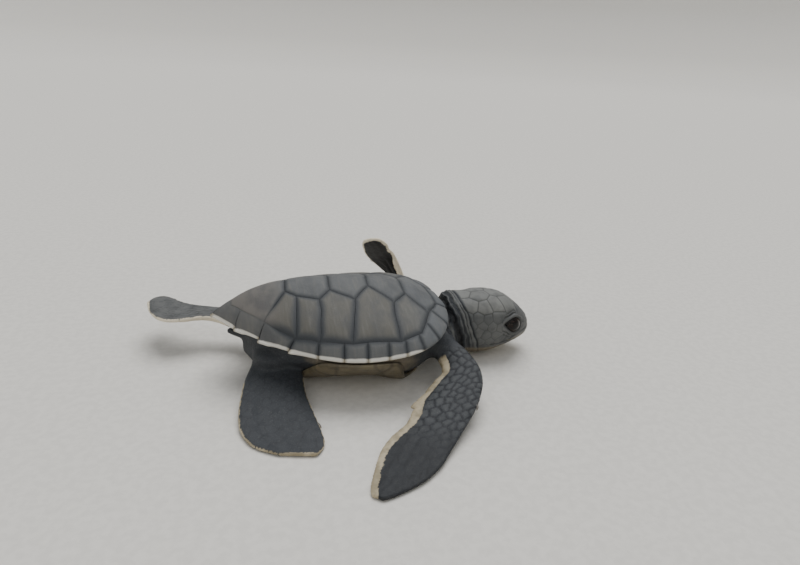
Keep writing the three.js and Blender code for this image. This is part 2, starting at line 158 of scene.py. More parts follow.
def half_width(x):
    front = clamp01((x - WIDEST_X) / (HALF_LENGTH - WIDEST_X))
    rear = clamp01((WIDEST_X - x) / (HALF_LENGTH + WIDEST_X))
    return HALF_WIDTH * np.where(x > WIDEST_X, (1 - front**2.9) ** 0.512, (1 - rear**2.05) ** 1.06)


def rim_height(x):
    return RIM_HEIGHT + 3.2 * (x / HALF_LENGTH) ** 2


def dome_height(x, y):
    across = clamp01(np.abs(y) / np.maximum(half_width(x), 0.01))
    lengthwise = 1 - np.abs(x / HALF_LENGTH) ** np.where(x > 0, 2.3, 2.7)
    crosswise = 1 - 0.72 * across**1.15 - 0.28 * across**6
    lift = STROKE_LIFT * smooth((x - 6) / 14) * smooth((y - 1) / 9)
    return rim_height(x) + DOME_HEIGHT * np.maximum(0, lengthwise) * crosswise + lift


def dome_normal(x, y):
    step = 0.25
    inner = np.where(x > 0, x - step, x + step)
    slope_x = (dome_height(x, y) - dome_height(inner, y)) / (x - inner)
    inner_y = np.where(y > 0, y - step, y + step)
    slope_y = (dome_height(x, y) - dome_height(x, inner_y)) / (y - inner_y)
    slope_y = slope_y * smooth(np.abs(y) / 0.8)
    return unit(np.stack([-slope_x, -slope_y, np.ones_like(slope_x)], -1))


def inward(normal):
    """The way into the shell: between straight down and square to its surface."""
    return unit(-0.55 * normal - np.array([0, 0, 0.45]))


def shell_point(x, y, depth):
    surface = np.stack([x, y, dome_height(x, y)], -1)
    return surface + inward(dome_normal(x, y)) * np.asarray(depth)[..., None]


def height_under(x, y, depth):
    normal = dome_normal(x, y)
    return dome_height(x, y) + depth * (inward(normal) * normal).sum(-1) / np.maximum(normal[..., 2], 0.3)


def belly_height(x, y):
    edge = np.maximum(half_width(x) - 1, 1)
    flat = np.minimum(6 + 4 * np.exp(-(((x - 13) / 5) ** 2)), edge * 0.7)
    side = clamp01((np.abs(y) - flat) / (edge - flat))
    ends = 5 * clamp01((-8 - x) / 13) ** 2 + 2 * clamp01((x - 16) / 6) ** 2
    return ends + (rim_height(x) - 1.9 - ends) * side**1.35


# ---- making meshes ------------------------------------------------------------------------------------


def loft(rings):
    """Points and faces of a closed body through rings of points, each end closed by a fan."""
    rings = np.asarray(rings, float)
    count, around = rings.shape[:2]
    points = np.concatenate([rings.reshape(-1, 3), rings[:1].mean(1), rings[-1:].mean(1)])
    index = np.arange(count * around).reshape(count, around)
    after = np.roll(index, -1, axis=1)
    quads = np.stack([index[:-1], after[:-1], after[1:], index[1:]], -1).reshape(-1, 4)
    first, last = count * around, count * around + 1
    faces = [tuple(q) for q in quads.tolist()]
    faces += [(b, a, first) for a, b in zip(index[0].tolist(), after[0].tolist())]
    faces += [(a, b, last) for a, b in zip(index[-1].tolist(), after[-1].tolist())]
    return points, faces


def joined(parts):
    """Several (points, faces) as one."""
    points, faces, start = [], [], 0
    for part_points, part_faces in parts:
        points.append(np.asarray(part_points))
        faces += [tuple(i + start for i in face) for face in part_faces]
        start += len(part_points)
    return np.concatenate(points), faces


def linked(name, data):
    """An object of the scene for a mesh, a light or a camera."""
    obj = bpy.data.objects.new(name, data)
    bpy.context.scene.collection.objects.link(obj)
    return obj


def mesh_object(name, points, faces, scale=MM):
    """A linked, smooth shaded object with its faces turned out."""
    mesh = bpy.data.meshes.new(name)
    mesh.from_pydata((np.asarray(points) * scale).tolist(), [], faces)
    turned = bmesh.new()
    turned.from_mesh(mesh)
    bmesh.ops.recalc_face_normals(turned, faces=turned.faces)
    turned.to_mesh(mesh)
    turned.free()
    mesh.shade_smooth()
    return linked(name, mesh)


def store(obj, **values):
    """Writes numbers for each point of a mesh, for its material to read."""
    for name, numbers in values.items():
        attribute = obj.data.attributes.new(name, "FLOAT", "POINT")
        attribute.data.foreach_set("value", np.asarray(numbers, np.float32))


def dress(piece, material, slot, *nodes):
    """Gives a piece its material and its place in the model, in place of those nodes."""
    piece.data.materials.append(material)
    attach(piece, "root")
    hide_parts(*nodes)


def search_tree(places):
    """A tree that finds the places nearest to a point."""
    tree = kdtree.KDTree(len(places))
    for i, place in enumerate(places):
        tree.insert(place, i)
    tree.balance()
    return tree


# ---- making materials ---------------------------------------------------------------------------------


RGBA = {"data_type": "RGBA"}
SOFT = {"interpolation_type": "SMOOTHSTEP"}
MULTIPLY_ADD = {"operation": "MULTIPLY_ADD"}


def put(tree, kind, inputs, output=0, **settings):
    """Adds a node with its settings, and gives one of its outputs. An input is a value or another output."""
    node = tree.nodes.new("ShaderNode" + kind)
    for key, value in settings.items():
        setattr(node, key, value)
    for key, value in inputs.items():
        socket = node.inputs[key]
        if isinstance(value, bpy.types.NodeSocket):
            tree.links.new(value, socket)
        else:
            socket.default_value = (*value, 1.0) if socket.type == "RGBA" else value
    return None if output is None else node.outputs[output]


def lay(tree, colour, tone, pattern, low, high, least=0.0, most=1.0):
    """Lays a tone over a colour. Its share goes from least to most as the pattern goes from low to high."""
    share = put(tree, "MapRange", {0: pattern, 1: low, 2: high, 3: least, 4: most}, **SOFT)
    return put(tree, "Mix", {0: share, 6: colour, 7: tone}, 2, **RGBA)


def new_tree(name, *values):
    """A material, its node tree, the place on the object, and the stored values that the looks follow."""
    material = bpy.data.materials.new(name)
    material.use_nodes = True
    tree = material.node_tree
    tree.nodes.clear()
    place = put(tree, "TexCoord", {}, "Object")
    return material, tree, place, *[put(tree, "Attribute", {}, "Fac", attribute_name=v) for v in values]


def spacing(mm, stretch):
    """Scale of a pattern whose features are mm wide, and longer along an axis by its stretch."""
    return [1 / (mm * MM * share) for share in stretch]


def horn_material(colours):
    """Matte juvenile horn, grown in scutes. The eye sees dull blue-grey plates with warmer rubbed middles,
    broken growth fibres from the spine to the rim, dark soft seams and a white edge. Painted light makes the
    scutes at the tail lighter, and painted shade takes the white edge away at the neck."""
    values = ("seam", "gap", "rim", "warm", "worn")
    material, tree, place, seam, gap, rim, warm, worn = new_tree("horn_scute_matte", *values)
    # Fibres half a millimetre apart, clouds of a few millimetres, and grit as fine as still shows.
    along_fibres = put(tree, "Mapping", {"Vector": place, "Scale": spacing(0.5, (1, 9, 9))})
    fibres = put(tree, "TexNoise", {"Vector": along_fibres, "Scale": 1.0, "Detail": 3.0})
    across_clouds = put(tree, "Mapping", {"Vector": place, "Scale": spacing(3.2, (1, 1.6, 1.6))})
    cloud = put(tree, "TexNoise", {"Vector": across_clouds, "Scale": 1.0, "Detail": 4.0})
    grit = put(tree, "TexNoise", {"Vector": place, "Scale": 1 / (0.32 * MM), "Detail": 4.0})
    # The seams' dark bands and the white edge wander a little with the clouds.
    shifted = put(tree, "Math", {0: cloud, 1: 0.5, 2: -0.25}, **MULTIPLY_ADD)
    edge = put(tree, "Math", {0: seam, 1: shifted}, operation="ADD")
    worn_rim = put(tree, "Math", {0: rim, 1: shifted}, operation="ADD")
    colour = put(tree, "Mix", {0: warm, 6: colours.horn_cool, 7: colours.horn_warm}, 2, **RGBA)
    # Painted light: the scutes at the tail are lighter.
    colour = put(tree, "Mix", {0: worn, 6: colour, 7: colours.horn_worn}, 2, **RGBA)
    colour = lay(tree, colour, colours.horn_light, fibres, 0.4, 0.75, 0.0, 0.5)
    colour = lay(tree, colour, colours.horn_dull, cloud, 0.42, 0.7, 0.0, 0.5)
    colour = lay(tree, colour, colours.horn_light, grit, 0.55, 0.8, 0.0, 0.3)
    colour = lay(tree, colours.seam, colour, edge, 0.1, 1.5)
    colour = lay(tree, colour, colours.seam_core, seam, 0.1, 0.7, 0.6, 0.0)
    white = lay(tree, colours.rim_gap, colours.rim, gap, 0.0, 0.7)
    colour = lay(tree, colour, white, worn_rim, 0.36, 0.66, 1.0, 0.0)
    roughness = put(tree, "MapRange", {0: grit, 1: 0.2, 2: 0.8, 3: 0.56, 4: 0.74})
    relief = put(tree, "Math", {0: fibres, 1: 0.9, 2: grit}, **MULTIPLY_ADD)
    normal = put(tree, "Bump", {"Height": relief, "Distance": 0.035 * MM, "Strength": 1.0})
    finish = {"Base Color": colour, "Roughness": roughness, "Normal": normal, "IOR": 1.5}
    put(tree, "OutputMaterial", {"Surface": put(tree, "BsdfPrincipled", finish)}, None)
    return material


def plastron_material(colours):
    """Belly horn, smooth and thin over flesh. The eye sees cream clouded with olive, stained in its seams,
    with a little light in it. Its colours are darkened as painted shade under the body."""
    material, tree, place, seam = new_tree("horn_plastron_smooth", "seam")
    # Clouds of about 2.5 mm, and growth ripples of a third of a millimetre.
    cloud = put(tree, "TexNoise", {"Vector": place, "Scale": 1 / (2.5 * MM), "Detail": 4.0})
    ripple = put(tree, "TexNoise", {"Vector": place, "Scale": 1 / (0.35 * MM), "Detail": 3.0})
    colour = lay(tree, colours.belly, colours.belly_olive, cloud, 0.4, 0.65)
    colour = lay(tree, colour, colours.belly_seam, seam, 0.1, 0.6, 0.6, 0.0)
    roughness = put(tree, "MapRange", {0: ripple, 1: 0.2, 2: 0.8, 3: 0.42, 4: 0.58})
    normal = put(tree, "Bump", {"Height": ripple, "Distance": 0.03 * MM, "Strength": 1.0})
    finish = {"Base Color": colour, "Roughness": roughness, "Normal": normal, "IOR": 1.54}
    finish |= {"Subsurface Weight": 0.15, "Subsurface Radius": (0.6, 0.4, 0.3), "Subsurface Scale": MM}
    put(tree, "OutputMaterial", {"Surface": put(tree, "BsdfPrincipled", finish)}, None)
    return material


def hide_material(colours):
    """Dry scaly hide. The eye sees slate scales with darker seams, paler crown and throat, and worn cream
    borders on the flippers. Painted into the colour: near-black shade in the folds and under the flippers, a
    crown lighter towards its top, highlights on the neck's ridges and the flippers' scales, and sunlight on
    the far flippers' borders."""
    values = ("seam", "fold", "border", "bleached", "below", "pale", "light", "granular")
    material, tree, place, *found = new_tree("hide_scaly_dry", *values)
    seam, fold, border, bleached, below, pale, light, granular = found
    # Clouds of 2 mm, grit of a fifth of a millimetre, and granules of half a millimetre between the scales.
    cloud = put(tree, "TexNoise", {"Vector": place, "Scale": 1 / (2.0 * MM), "Detail": 4.0})
    grit = put(tree, "TexNoise", {"Vector": place, "Scale": 1 / (0.22 * MM), "Detail": 3.0})
    cells = {"Vector": place, "Scale": 1 / (0.55 * MM), "Randomness": 0.8}
    granule = put(tree, "TexVoronoi", cells, "Distance", feature="DISTANCE_TO_EDGE")
    # The throat's and the borders' outlines wander a little with the clouds.
    shifted = put(tree, "Math", {0: cloud, 1: 0.5, 2: -0.25}, **MULTIPLY_ADD)
    throat = put(tree, "Math", {0: pale, 1: shifted}, operation="ADD")
    worn_border = put(tree, "Math", {0: border, 1: shifted}, operation="ADD")
    # The light share is partly painted light: the crown lighter towards its top, and highlights on the neck's
    # ridges and the flippers' scales.
    colour = put(tree, "Mix", {0: light, 6: colours.hide, 7: colours.hide_light}, 2, **RGBA)
    darker = put(tree, "Mix", {0: 0.45, 6: colour, 7: colours.hide_dark}, 2, **RGBA)
    colour = lay(tree, colour, darker, cloud, 0.42, 0.66, 0.0, 0.6)
    colour = lay(tree, colour, colours.hide_light, grit, 0.5, 0.8, 0.0, 0.25)
    colour = lay(tree, colour, colours.hide_seam, seam, 0.02, 0.36, 0.75, 0.0)
    colour = lay(tree, colour, colours.throat, throat, 0.25, 0.8)
    # Painted shade under the flippers.
    colour = put(tree, "Mix", {0: below, 6: colour, 7: colours.fold}, 2, **RGBA)
    cream = lay(tree, colours.border, colours.border_shade, cloud, 0.35, 0.65)
    # Painted sunlight on the far flippers' borders.
    cream = put(tree, "Mix", {0: bleached, 6: cream, 7: colours.border_light}, 2, **RGBA)
    colour = lay(tree, colour, cream, worn_border, 0.25, 0.75)
    # Painted shade in the folds, the mouth, the nostrils and round the eyes.
    colour = put(tree, "Mix", {0: fold, 6: colour, 7: colours.fold}, 2, **RGBA)
    roughness = put(tree, "MapRange", {0: grit, 1: 0.2, 2: 0.8, 3: 0.5, 4: 0.7})
    domed = put(tree, "MapRange", {0: granule, 1: 0.0, 2: 0.45}, **SOFT)
    beads = put(tree, "Math", {0: domed, 1: granular}, operation="MULTIPLY")
    relief = put(tree, "Math", {0: beads, 1: 0.55, 2: grit}, **MULTIPLY_ADD)
    normal = put(tree, "Bump", {"Height": relief, "Distance": 0.055 * MM, "Strength": 1.0})
    finish = {"Base Color": colour, "Roughness": roughness, "Normal": normal, "IOR": 1.4}
    finish |= {"Specular IOR Level": 0.35}
    put(tree, "OutputMaterial", {"Surface": put(tree, "BsdfPrincipled", finish)}, None)
    return material


def beak_material(colours):
    """Horn sheath of the jaws, worn smooth. The eye sees dark horn with upright streaks and pale edges."""
    material, tree, place, edge = new_tree("horn_beak_smooth", "edge")
    # Upright growth streaks 0.4 mm apart.
    upright = put(tree, "Mapping", {"Vector": place, "Scale": spacing(0.4, (1, 1, 4))})
    streaks = put(tree, "TexNoise", {"Vector": upright, "Scale": 1.0, "Detail": 3.0})
    colour = lay(tree, colours.beak, colours.hide_light, streaks, 0.4, 0.7, 0.0, 0.12)
    colour = put(tree, "Mix", {0: edge, 6: colour, 7: colours.beak_edge}, 2, **RGBA)
    roughness = put(tree, "MapRange", {0: streaks, 1: 0.2, 2: 0.8, 3: 0.38, 4: 0.5})
    normal = put(tree, "Bump", {"Height": streaks, "Distance": 0.03 * MM, "Strength": 1.0})
    finish = {"Base Color": colour, "Roughness": roughness, "Normal": normal, "IOR": 1.54}
    put(tree, "OutputMaterial", {"Surface": put(tree, "BsdfPrincipled", finish)}, None)
    return material


def eye_material(colours):
    """Wet eyeball. The eye sees near-black with a hint of a brown iris under a clear tear film."""
    material, tree, place, off_axis = new_tree("eye_wet", "off_axis")
    # Rays of the iris a quarter of a millimetre wide.
    rays = put(tree, "TexNoise", {"Vector": place, "Scale": 1 / (0.25 * MM), "Detail": 2.0})
    iris = lay(tree, colours.eye, colours.iris, rays, 0.4, 0.65)
    # The pupil ends at the first angle from the eye's axis, and the iris at the second.
    colour = lay(tree, colours.eye, iris, off_axis, 0.34, 0.4)
    colour = lay(tree, colour, colours.eye, off_axis, 0.74, 0.84)
    roughness = put(tree, "MapRange", {0: rays, 1: 0.2, 2: 0.8, 3: 0.1, 4: 0.16})
    finish = {"Base Color": colour, "Roughness": roughness, "IOR": 1.376, "Specular IOR Level": 0.3}
    finish |= {"Coat Weight": 0.25, "Coat Roughness": 0.05, "Coat IOR": 1.34}
    put(tree, "OutputMaterial", {"Surface": put(tree, "BsdfPrincipled", finish)}, None)
    return material


def claw_material(colours):
    """Claw horn, worn by sand. The eye sees dull grey-brown with fine growth lines and a paler point."""
    material, tree, place, tip = new_tree("horn_claw_worn", "tip")
    # Growth lines 0.15 mm apart.
    lines = put(tree, "TexNoise", {"Vector": place, "Scale": 1 / (0.15 * MM), "Detail": 2.0})
    colour = put(tree, "Mix", {0: tip, 6: colours.claw, 7: colours.beak_edge}, 2, **RGBA)
    colour = lay(tree, colour, colours.hide_seam, lines, 0.4, 0.65, 0.0, 0.5)
    roughness = put(tree, "MapRange", {0: lines, 1: 0.2, 2: 0.8, 3: 0.35, 4: 0.5})
    normal = put(tree, "Bump", {"Height": lines, "Distance": 0.02 * MM, "Strength": 1.0})
    finish = {"Base Color": colour, "Roughness": roughness, "Normal": normal, "IOR": 1.54}
    put(tree, "OutputMaterial", {"Surface": put(tree, "BsdfPrincipled", finish)}, None)
    return material


def paper_material(colours):
    """Matte paper backdrop. The eye sees a pale even ground with a faint mottle."""
    material, tree, place = new_tree("paper_matte")
    # Fibres of the paper, 1.5 mm.
    fibre = put(tree, "TexNoise", {"Vector": place, "Scale": 1 / (1.5 * MM), "Detail": 2.0})
    colour = lay(tree, colours.floor, colours.floor_shade, fibre, 0.35, 0.65)
    roughness = put(tree, "MapRange", {0: fibre, 1: 0.3, 2: 0.7, 3: 0.85, 4: 0.95})
    finish = {"Base Color": colour, "Roughness": roughness}
    put(tree, "OutputMaterial", {"Surface": put(tree, "BsdfPrincipled", finish)}, None)
    return material


# ---- carapace -----------------------------------------------------------------------------------------

# The seams across the middle row from neck to tail, and the outermost corners of its scutes, on the left.
ROW_JOINTS = [(21.9, 4.6), (15, 4.4), (7.3, 3.6), (-0.9, 4.2), (-9.8, 3.2), (-20.4, 1.5)]
ROW_APEXES = [(11.5, 8.1), (3.5, 7.4), (-5.6, 6.3)]
# The fourth middle scute has two such corners on the right, where an extra costal meets it.
EXTRA_APEXES = [(-3.3, 6.3), (-8, 5)]
# The line that parts the costals from the marginals, from the tail forward.
INNER_LINE = [
    ROW_JOINTS[5], (-14.5, 7.9), (-8.9, 13), (-4.6, 15), (1.6, 16.6), (10.6, 17.4), (15.3, 15.8), (18.6, 9.8),
    ROW_JOINTS[0],
]
# Where the seams before and behind each costal meet that line, from the neck to the tail.
LEFT_MEETINGS = (18.6, 10.6, 1.6, -6.4, -14.5)
RIGHT_MEETINGS = (18.6, 10.6, 1.6, -4.6, -8.9, -14.5)
# The seams between the marginals from the neck to the tail, as x at the rim and x on that line.
MARGINAL_SEAMS = [
    (24.35, 21.9), (22.3, 19.4), (19, 16.9), (15.2, 14.6), (11.5, 11.6), (7.9, 8.3), (3.8, 4.3),
    (-0.6, -0.1), (-5.3, -4.8), (-10.5, -9.1), (-15.8, -14.3), (-20.1, -18.6), (-HALF_LENGTH, -20.4),
]
RIM_STEPS = 10
# How far in from the edge the rings of a scute's rounded border lie. They are closer where it is narrow.
BORDER_RINGS = (0.18, 0.32, 0.5, 0.75, 1.05)


def inner_point(x):
    xs, ys = zip(*INNER_LINE)
    return (x, float(np.interp(x, xs, ys)))


def inner_run(start, end):
    """Corners along the inner line from one x to another, in that order."""
    low, high = min(start, end) + 0.4, max(start, end) - 0.4
    between = [corner for corner in INNER_LINE if low < corner[0] < high]
    if start > end:
        between.reverse()
    return [inner_point(start), *between, inner_point(end)]


def rim_run(start, end):
    """Corners along the rim from one x to another, evenly by angle."""
    turn = [math.acos(min(1, max(-1, x / HALF_LENGTH))) for x in (start, end)]
    xs = HALF_LENGTH * np.cos(np.linspace(*turn, RIM_STEPS + 1))
    xs = np.clip(xs, 0.02 - HALF_LENGTH, HALF_LENGTH - 0.01)
    return list(zip(xs.tolist(), half_width(xs).tolist()))


def on_side(corners, side):
    return [(x, side * y) for x, y in corners]


def middle_row():
    """Outlines of the vertebral scutes, by node."""
    neck, tail = ROW_JOINTS[0][0], ROW_JOINTS[-1][0]
    left = [inner_run(neck, LEFT_MEETINGS[0])[1:], *[[apex] for apex in ROW_APEXES]]
    left.append(inner_run(LEFT_MEETINGS[-1], tail)[:-1])
    right = [EXTRA_APEXES if i == 3 else corners for i, corners in enumerate(left)]
    outlines = {}
    for i in range(5):
        halves = [[ROW_JOINTS[i], *side[i], ROW_JOINTS[i + 1]] for side in (left, right)]
        outlines[f"vertebral_{i + 1}"] = halves[0] + on_side(halves[1], -1)[::-1]
    return outlines


def side_rows():
    """Outlines of the costal scutes, by node."""
    _, second, third, fourth, fifth, _ = ROW_JOINTS
    apex_one, apex_two, apex_three = ROW_APEXES
    extra_front, extra_rear = EXTRA_APEXES
    # The corners of each costal on the middle row, before and after its run along the inner line.
    front = [([second], [apex_one]), ([third, apex_one], [apex_two])]
    left = [*front, ([fourth, apex_two], [apex_three]), ([fifth, apex_three], [])]
    right = [*front, ([fourth, apex_two], [extra_front]), ([extra_front], [extra_rear])]
    right.append(([fifth, extra_rear], []))
    sides = {"left": (1, LEFT_MEETINGS, left), "right": (-1, RIGHT_MEETINGS, right)}
    outlines = {}
    for name, (side, meetings, ends) in sides.items():
        for i, (before, after) in enumerate(ends):
            corners = before + inner_run(meetings[i], meetings[i + 1]) + after
            outlines[f"costal_{name}_{i + 1}"] = on_side(corners, side)
    return outlines


def flared(corners, number):
    """The rear marginals flare a little at their rear ends, so that the rim is toothed there."""
    flare = 0.6 * smooth((number - 8.3) / 1.6)
    moved = []
    for step, (x, y) in enumerate(corners):
        out = flare * (step / RIM_STEPS) ** 2.2 if number < 12 else flare * 0.3
        moved.append((x - out * 0.35, y + out))
    return moved


def rim_row():
    """Outlines of the nuchal and marginal scutes, by node."""
    half = [ROW_JOINTS[0], *rim_run(MARGINAL_SEAMS[0][0], HALF_LENGTH - 0.01)]
    outlines = {"nuchal": half + on_side(half[:-1], -1)[::-1]}
    for i in range(12):
        start, end = MARGINAL_SEAMS[i], MARGINAL_SEAMS[i + 1]
        corners = flared(rim_run(start[0], end[0]), i + 1) + inner_run(end[1], start[1])
        if i == 11:
            corners.insert(RIM_STEPS + 1, (ROW_JOINTS[-1][0], 0.0))
        outlines[f"marginal_left_{i + 1}"] = corners
        outlines[f"marginal_right_{i + 1}"] = on_side(corners, -1)
    return outlines


def divide(corners, reach):
    """Points along a closed line through the corners, no further apart than reach."""
    corners = np.asarray(corners, float)
    runs = []
    for start, end in zip(corners, np.roll(corners, -1, axis=0)):
        steps = max(1, round(float(np.linalg.norm(end - start)) / reach))
        runs.append(start + (end - start) * (np.arange(steps) / steps)[:, None])
    return np.concatenate(runs)


def distance_to_edges(points, starts, ends):
    """Distance from each point to the nearest of some straight edges."""
    if len(starts) == 0:
        return np.full(len(points), NO_EDGE)
    run = ends - starts
    away = points[:, None] - starts[None]
    t = clamp01((away * run).sum(-1) / np.maximum((run * run).sum(-1), 1e-12))
    return np.linalg.norm(away - t[..., None] * run, axis=-1).min(1)


def swayed(points):
    """Gives the seams their natural sway. The rim stays where it is."""
    place = np.column_stack([points, np.zeros(len(points))])
    inside = smooth((half_width(points[:, 0]) - np.abs(points[:, 1]) - 0.6) / 3)
    inside = inside * smooth((HALF_LENGTH - 1.5 - np.abs(points[:, 0])) / 3)
    sway = np.column_stack([noise_at(place, 4.5, 4), noise_at(place, 4.5, 5)])
    return points + 0.42 * sway * inside[:, None]


def top_depth(flat, seam, rim, sizes):
    """How far under the shell's even surface a scute's top lies: deep at its seams, crowned inside them,
    and rounded along the keel."""
    # The seams are shallow at the tail.
    share = 1 - 0.85 * smooth((-12 - flat[:, 0]) / 3)
    valley = 0.7 * (1 - smooth(seam * MM / sizes.seam_width)) + 0.3 * bump_at(seam, 0.2)
    lip = 0.22 * (1 - np.sqrt(clamp01(rim / 0.5 + 0.02)))
    crown = smooth(np.minimum(seam, rim + 1) / 3.2)
    keel = 0.17 * bump_at(flat[:, 1], 1.1)
    return (share * sizes.seam_depth * valley - sizes.crown * crown) / MM + lip + keel


def scute_surface(corners, sizes):
    """A crowned plate over the outline, with each point's distance to its seams and to the rim."""
    corners = np.asarray(corners, float)
    ends = np.roll(corners, -1, axis=0)
    on_rim = np.abs(corners[:, 1]) > half_width(corners[:, 0]) - 0.02
    outer = on_rim & np.roll(on_rim, -1)
    rim_starts = shell_point(*corners[outer].T, np.zeros(outer.sum()))
    rim_ends = shell_point(*ends[outer].T, np.zeros(outer.sum()))
    edge = divide(corners, 0.36)
    middle = edge.mean(0)
    reach = np.linalg.norm(edge - middle, axis=1)
    half_gap = sizes.scute_gap / MM / 2
    fitted = np.minimum(1, reach * 0.4 / BORDER_RINGS[-1])
    insets = [inset * fitted for inset in (half_gap, half_gap + 0.06, *BORDER_RINGS)]
    inner = np.linspace(0, 1, max(4, int(reach.max() / 0.5)) + 1)[1:-1]
    insets += [insets[-1] + (reach - insets[-1]) * share for share in inner]
    # Rings from the middle of the underside to its edge, up the wall, and in over the top.
    wall = insets[0] + 0.03
    rings = [(reach * 0.5, 1.0), (wall, 1.0), (wall, 0.8), (wall, 0.55)] + [(inset, None) for inset in insets]
    points, seams, rims = [], [], []
    for inset, share in rings:
        flat = edge + (middle - edge) * (inset / reach)[:, None]
        seam = distance_to_edges(flat, corners[~outer], ends[~outer])
        rim = distance_to_edges(shell_point(*flat.T, np.zeros(len(flat))), rim_starts, rim_ends)
        depth = top_depth(flat, seam, rim, sizes)
        if share is not None:
            depth = share * np.where(rim < 0.5, RIM_PLATE, PLATE)
        points.append(shell_point(*swayed(flat).T, depth))
        seams.append(seam)
        rims.append(rim)
    points, faces = loft(np.array(points))
    seam, rim = [np.concatenate([*values, [values[0].mean(), values[-1].max()]]) for values in (seams, rims)]
    return points, faces, seam, rim


def warmth(name, points):
    """How much of the warm rubbed tone a scute shows: most on the costals, and at the tail, where the extra
    is painted light.
    """
    base = {"costal": 0.95, "marginal": 0.4, "vertebral": 0.3, "nuchal": 0.1}[name.split("_")[0]]
    x = points[:, 0]
    # Painted light: the scutes at the tail, but for the marginals, take more of the warm tone.
    rubbed = 0.5 * smooth((-9 - x) / 5) * (not name.startswith("marginal"))
    return clamp01(base * (1 - 0.7 * smooth((x - 11) / 8)) + rubbed)


def build_carapace(sizes, material):
    for name, corners in {**middle_row(), **side_rows(), **rim_row()}.items():
        points, faces, seam, rim = scute_surface(corners, sizes)
        piece = mesh_object(f"scute_{name}", points, faces)
        x, y = points[:, 0], np.abs(points[:, 1])
        marginal = name.startswith("marginal")
        # The dark seams narrow towards the spine and fade at the tail. The white rim narrows at the tail,
        # and at the neck it is taken away as painted shade.
        dark = seam * (1 + 0.5 * smooth((8.5 - y) / 3.5)) * (1.6 if marginal else 1)
        dark = dark + 0.95 * smooth((-11 - x) / 4)
        white = rim * (1 + 0.25 * smooth((-9 - x) / 9)) + 0.8 * smooth((x - 12) / 6)
        # Painted light makes the scutes at the tail lighter.
        worn = (0.2 if marginal else 0.85) * smooth((-9 - x) / 6)
        store(piece, seam=dark, gap=seam, rim=white, warm=warmth(name, points), worn=worn)
        dress(piece, material, "rim" if marginal else "scute", name)


# ---- plastron -----------------------------------------------------------------------------------------

# Half widths [x, width] of the plastron with its bridges, from the tail to the neck.
PLASTRON = [
    (-16, 0.8), (-15, 3), (-12, 5.8), (-8.5, 7.8), (-6.2, 12.5), (-4, 16), (2, 18.1), (8, 18.3), (11.2, 16.8),
    (13.5, 12.2), (16, 9.2), (18, 6.6), (19, 3),
]
# Seams across the plastron as x on the midline, and how far each swings back towards its sides.
BELLY_SEAMS = [(16.6, 1.6), (11.8, 1.5), (5.6, -0.8), (-0.6, 0.3), (-6.4, 1.2), (-12, 1.6)]
# How far from the midline the seams between the plastron and its bridges lie, where they are nearest.
BRIDGE_LINE = 11.6


def belly_seam_distance(x, y):
    """Distance in mm to the nearest seam of the plastron."""
    side = np.abs(y)
    lines = [side]
    for middle, swing in BELLY_SEAMS:
        lines.append(np.abs(x - middle + swing * (side / 9) ** 2))
    lines.append(np.abs(side - BRIDGE_LINE - 0.03 * (x - 3) ** 2))
    return np.min(lines, axis=0)


def build_plastron(material):
    stations = np.linspace(PLASTRON[0][0], PLASTRON[-1][0], 110)
    across = np.linspace(-1, 1, 84)
    width = along(PLASTRON, stations)[:, 0]
    x = np.repeat(stations[:, None], len(across), 1)
    y = across * width[:, None]
    edge = (1 - np.abs(across)) * width[:, None]
    seam = belly_seam_distance(x, y)
    bottom = belly_height(x, y)
    swell = 0.22 * smooth((np.abs(y) - 9) / 3) * bump_at(seam, 2.5)
    under = bottom + 0.16 * bump_at(seam, 0.3) * smooth(edge / 0.6) - swell + 0.3 * bump_at(edge, 0.4)
    under = np.maximum(under, 0)
    over = bottom + BELLY_PLATE - 0.25 * bump_at(edge, 0.4)
    lower = np.stack([x, y, under], -1)
    upper = np.stack([x, y, over], -1)[:, ::-1]
    points, faces = loft(np.concatenate([lower, upper], 1))
    piece = mesh_object("plastron_horn", points, faces)
    seams = np.concatenate([seam, seam[:, ::-1]], 1).ravel()
    store(piece, seam=np.concatenate([seams, [NO_SEAM, NO_SEAM]]))
    dress(piece, material, "plastron", "plastron")


# ---- body under the hide ------------------------------------------------------------------------------

# Half widths [x, width] of the flesh under the shell.
TRUNK = [
    (-18.4, 1.4), (-17, 4.1), (-15, 6.6), (-10, 10.7), (-5, 14.2), (0, 16.6), (6, 17.8), (12, 16.8), (16, 14),
    (19, 11.5), (22, 8.7),
]
# Neck, head and tail as [x, top, bottom, half width] rows.
NECK_AND_HEAD = [
    (18.5, 10.4, 3.8, 5.8), (22, 11, 2.8, 6.6), (24.4, 11.7, 1.9, 6.7), (25.4, 13.1, 1.6, 6.8),
    (26.4, 14.3, 1.3, 6.8), (28.5, 14.4, 0.8, 6.6), (30.5, 14.3, 0.45, 6.5), (32.8, 14.6, 0.3, 6.9),
    (34.6, 14.6, 0.4, 7.1), (36.5, 14.4, 0.8, 7.1), (38.4, 14, 1.3, 6.7), (40.2, 13.3, 1.7, 6.1),
    (41.9, 12.1, 2.2, 5.3), (43.4, 10.9, 2.7, 4.3), (44.8, 9.5, 3.2, 3.2), (45.9, 8.2, 3.8, 1.9),
    (46.5, 7, 4.8, 0.9),
]
TAIL = [(-14.5, 10.3, 6.2, 2), (-18.6, 10, 7.2, 1.5), (-20.4, 9.8, 8, 1), (-21.6, 9.5, 8.6, 0.4)]
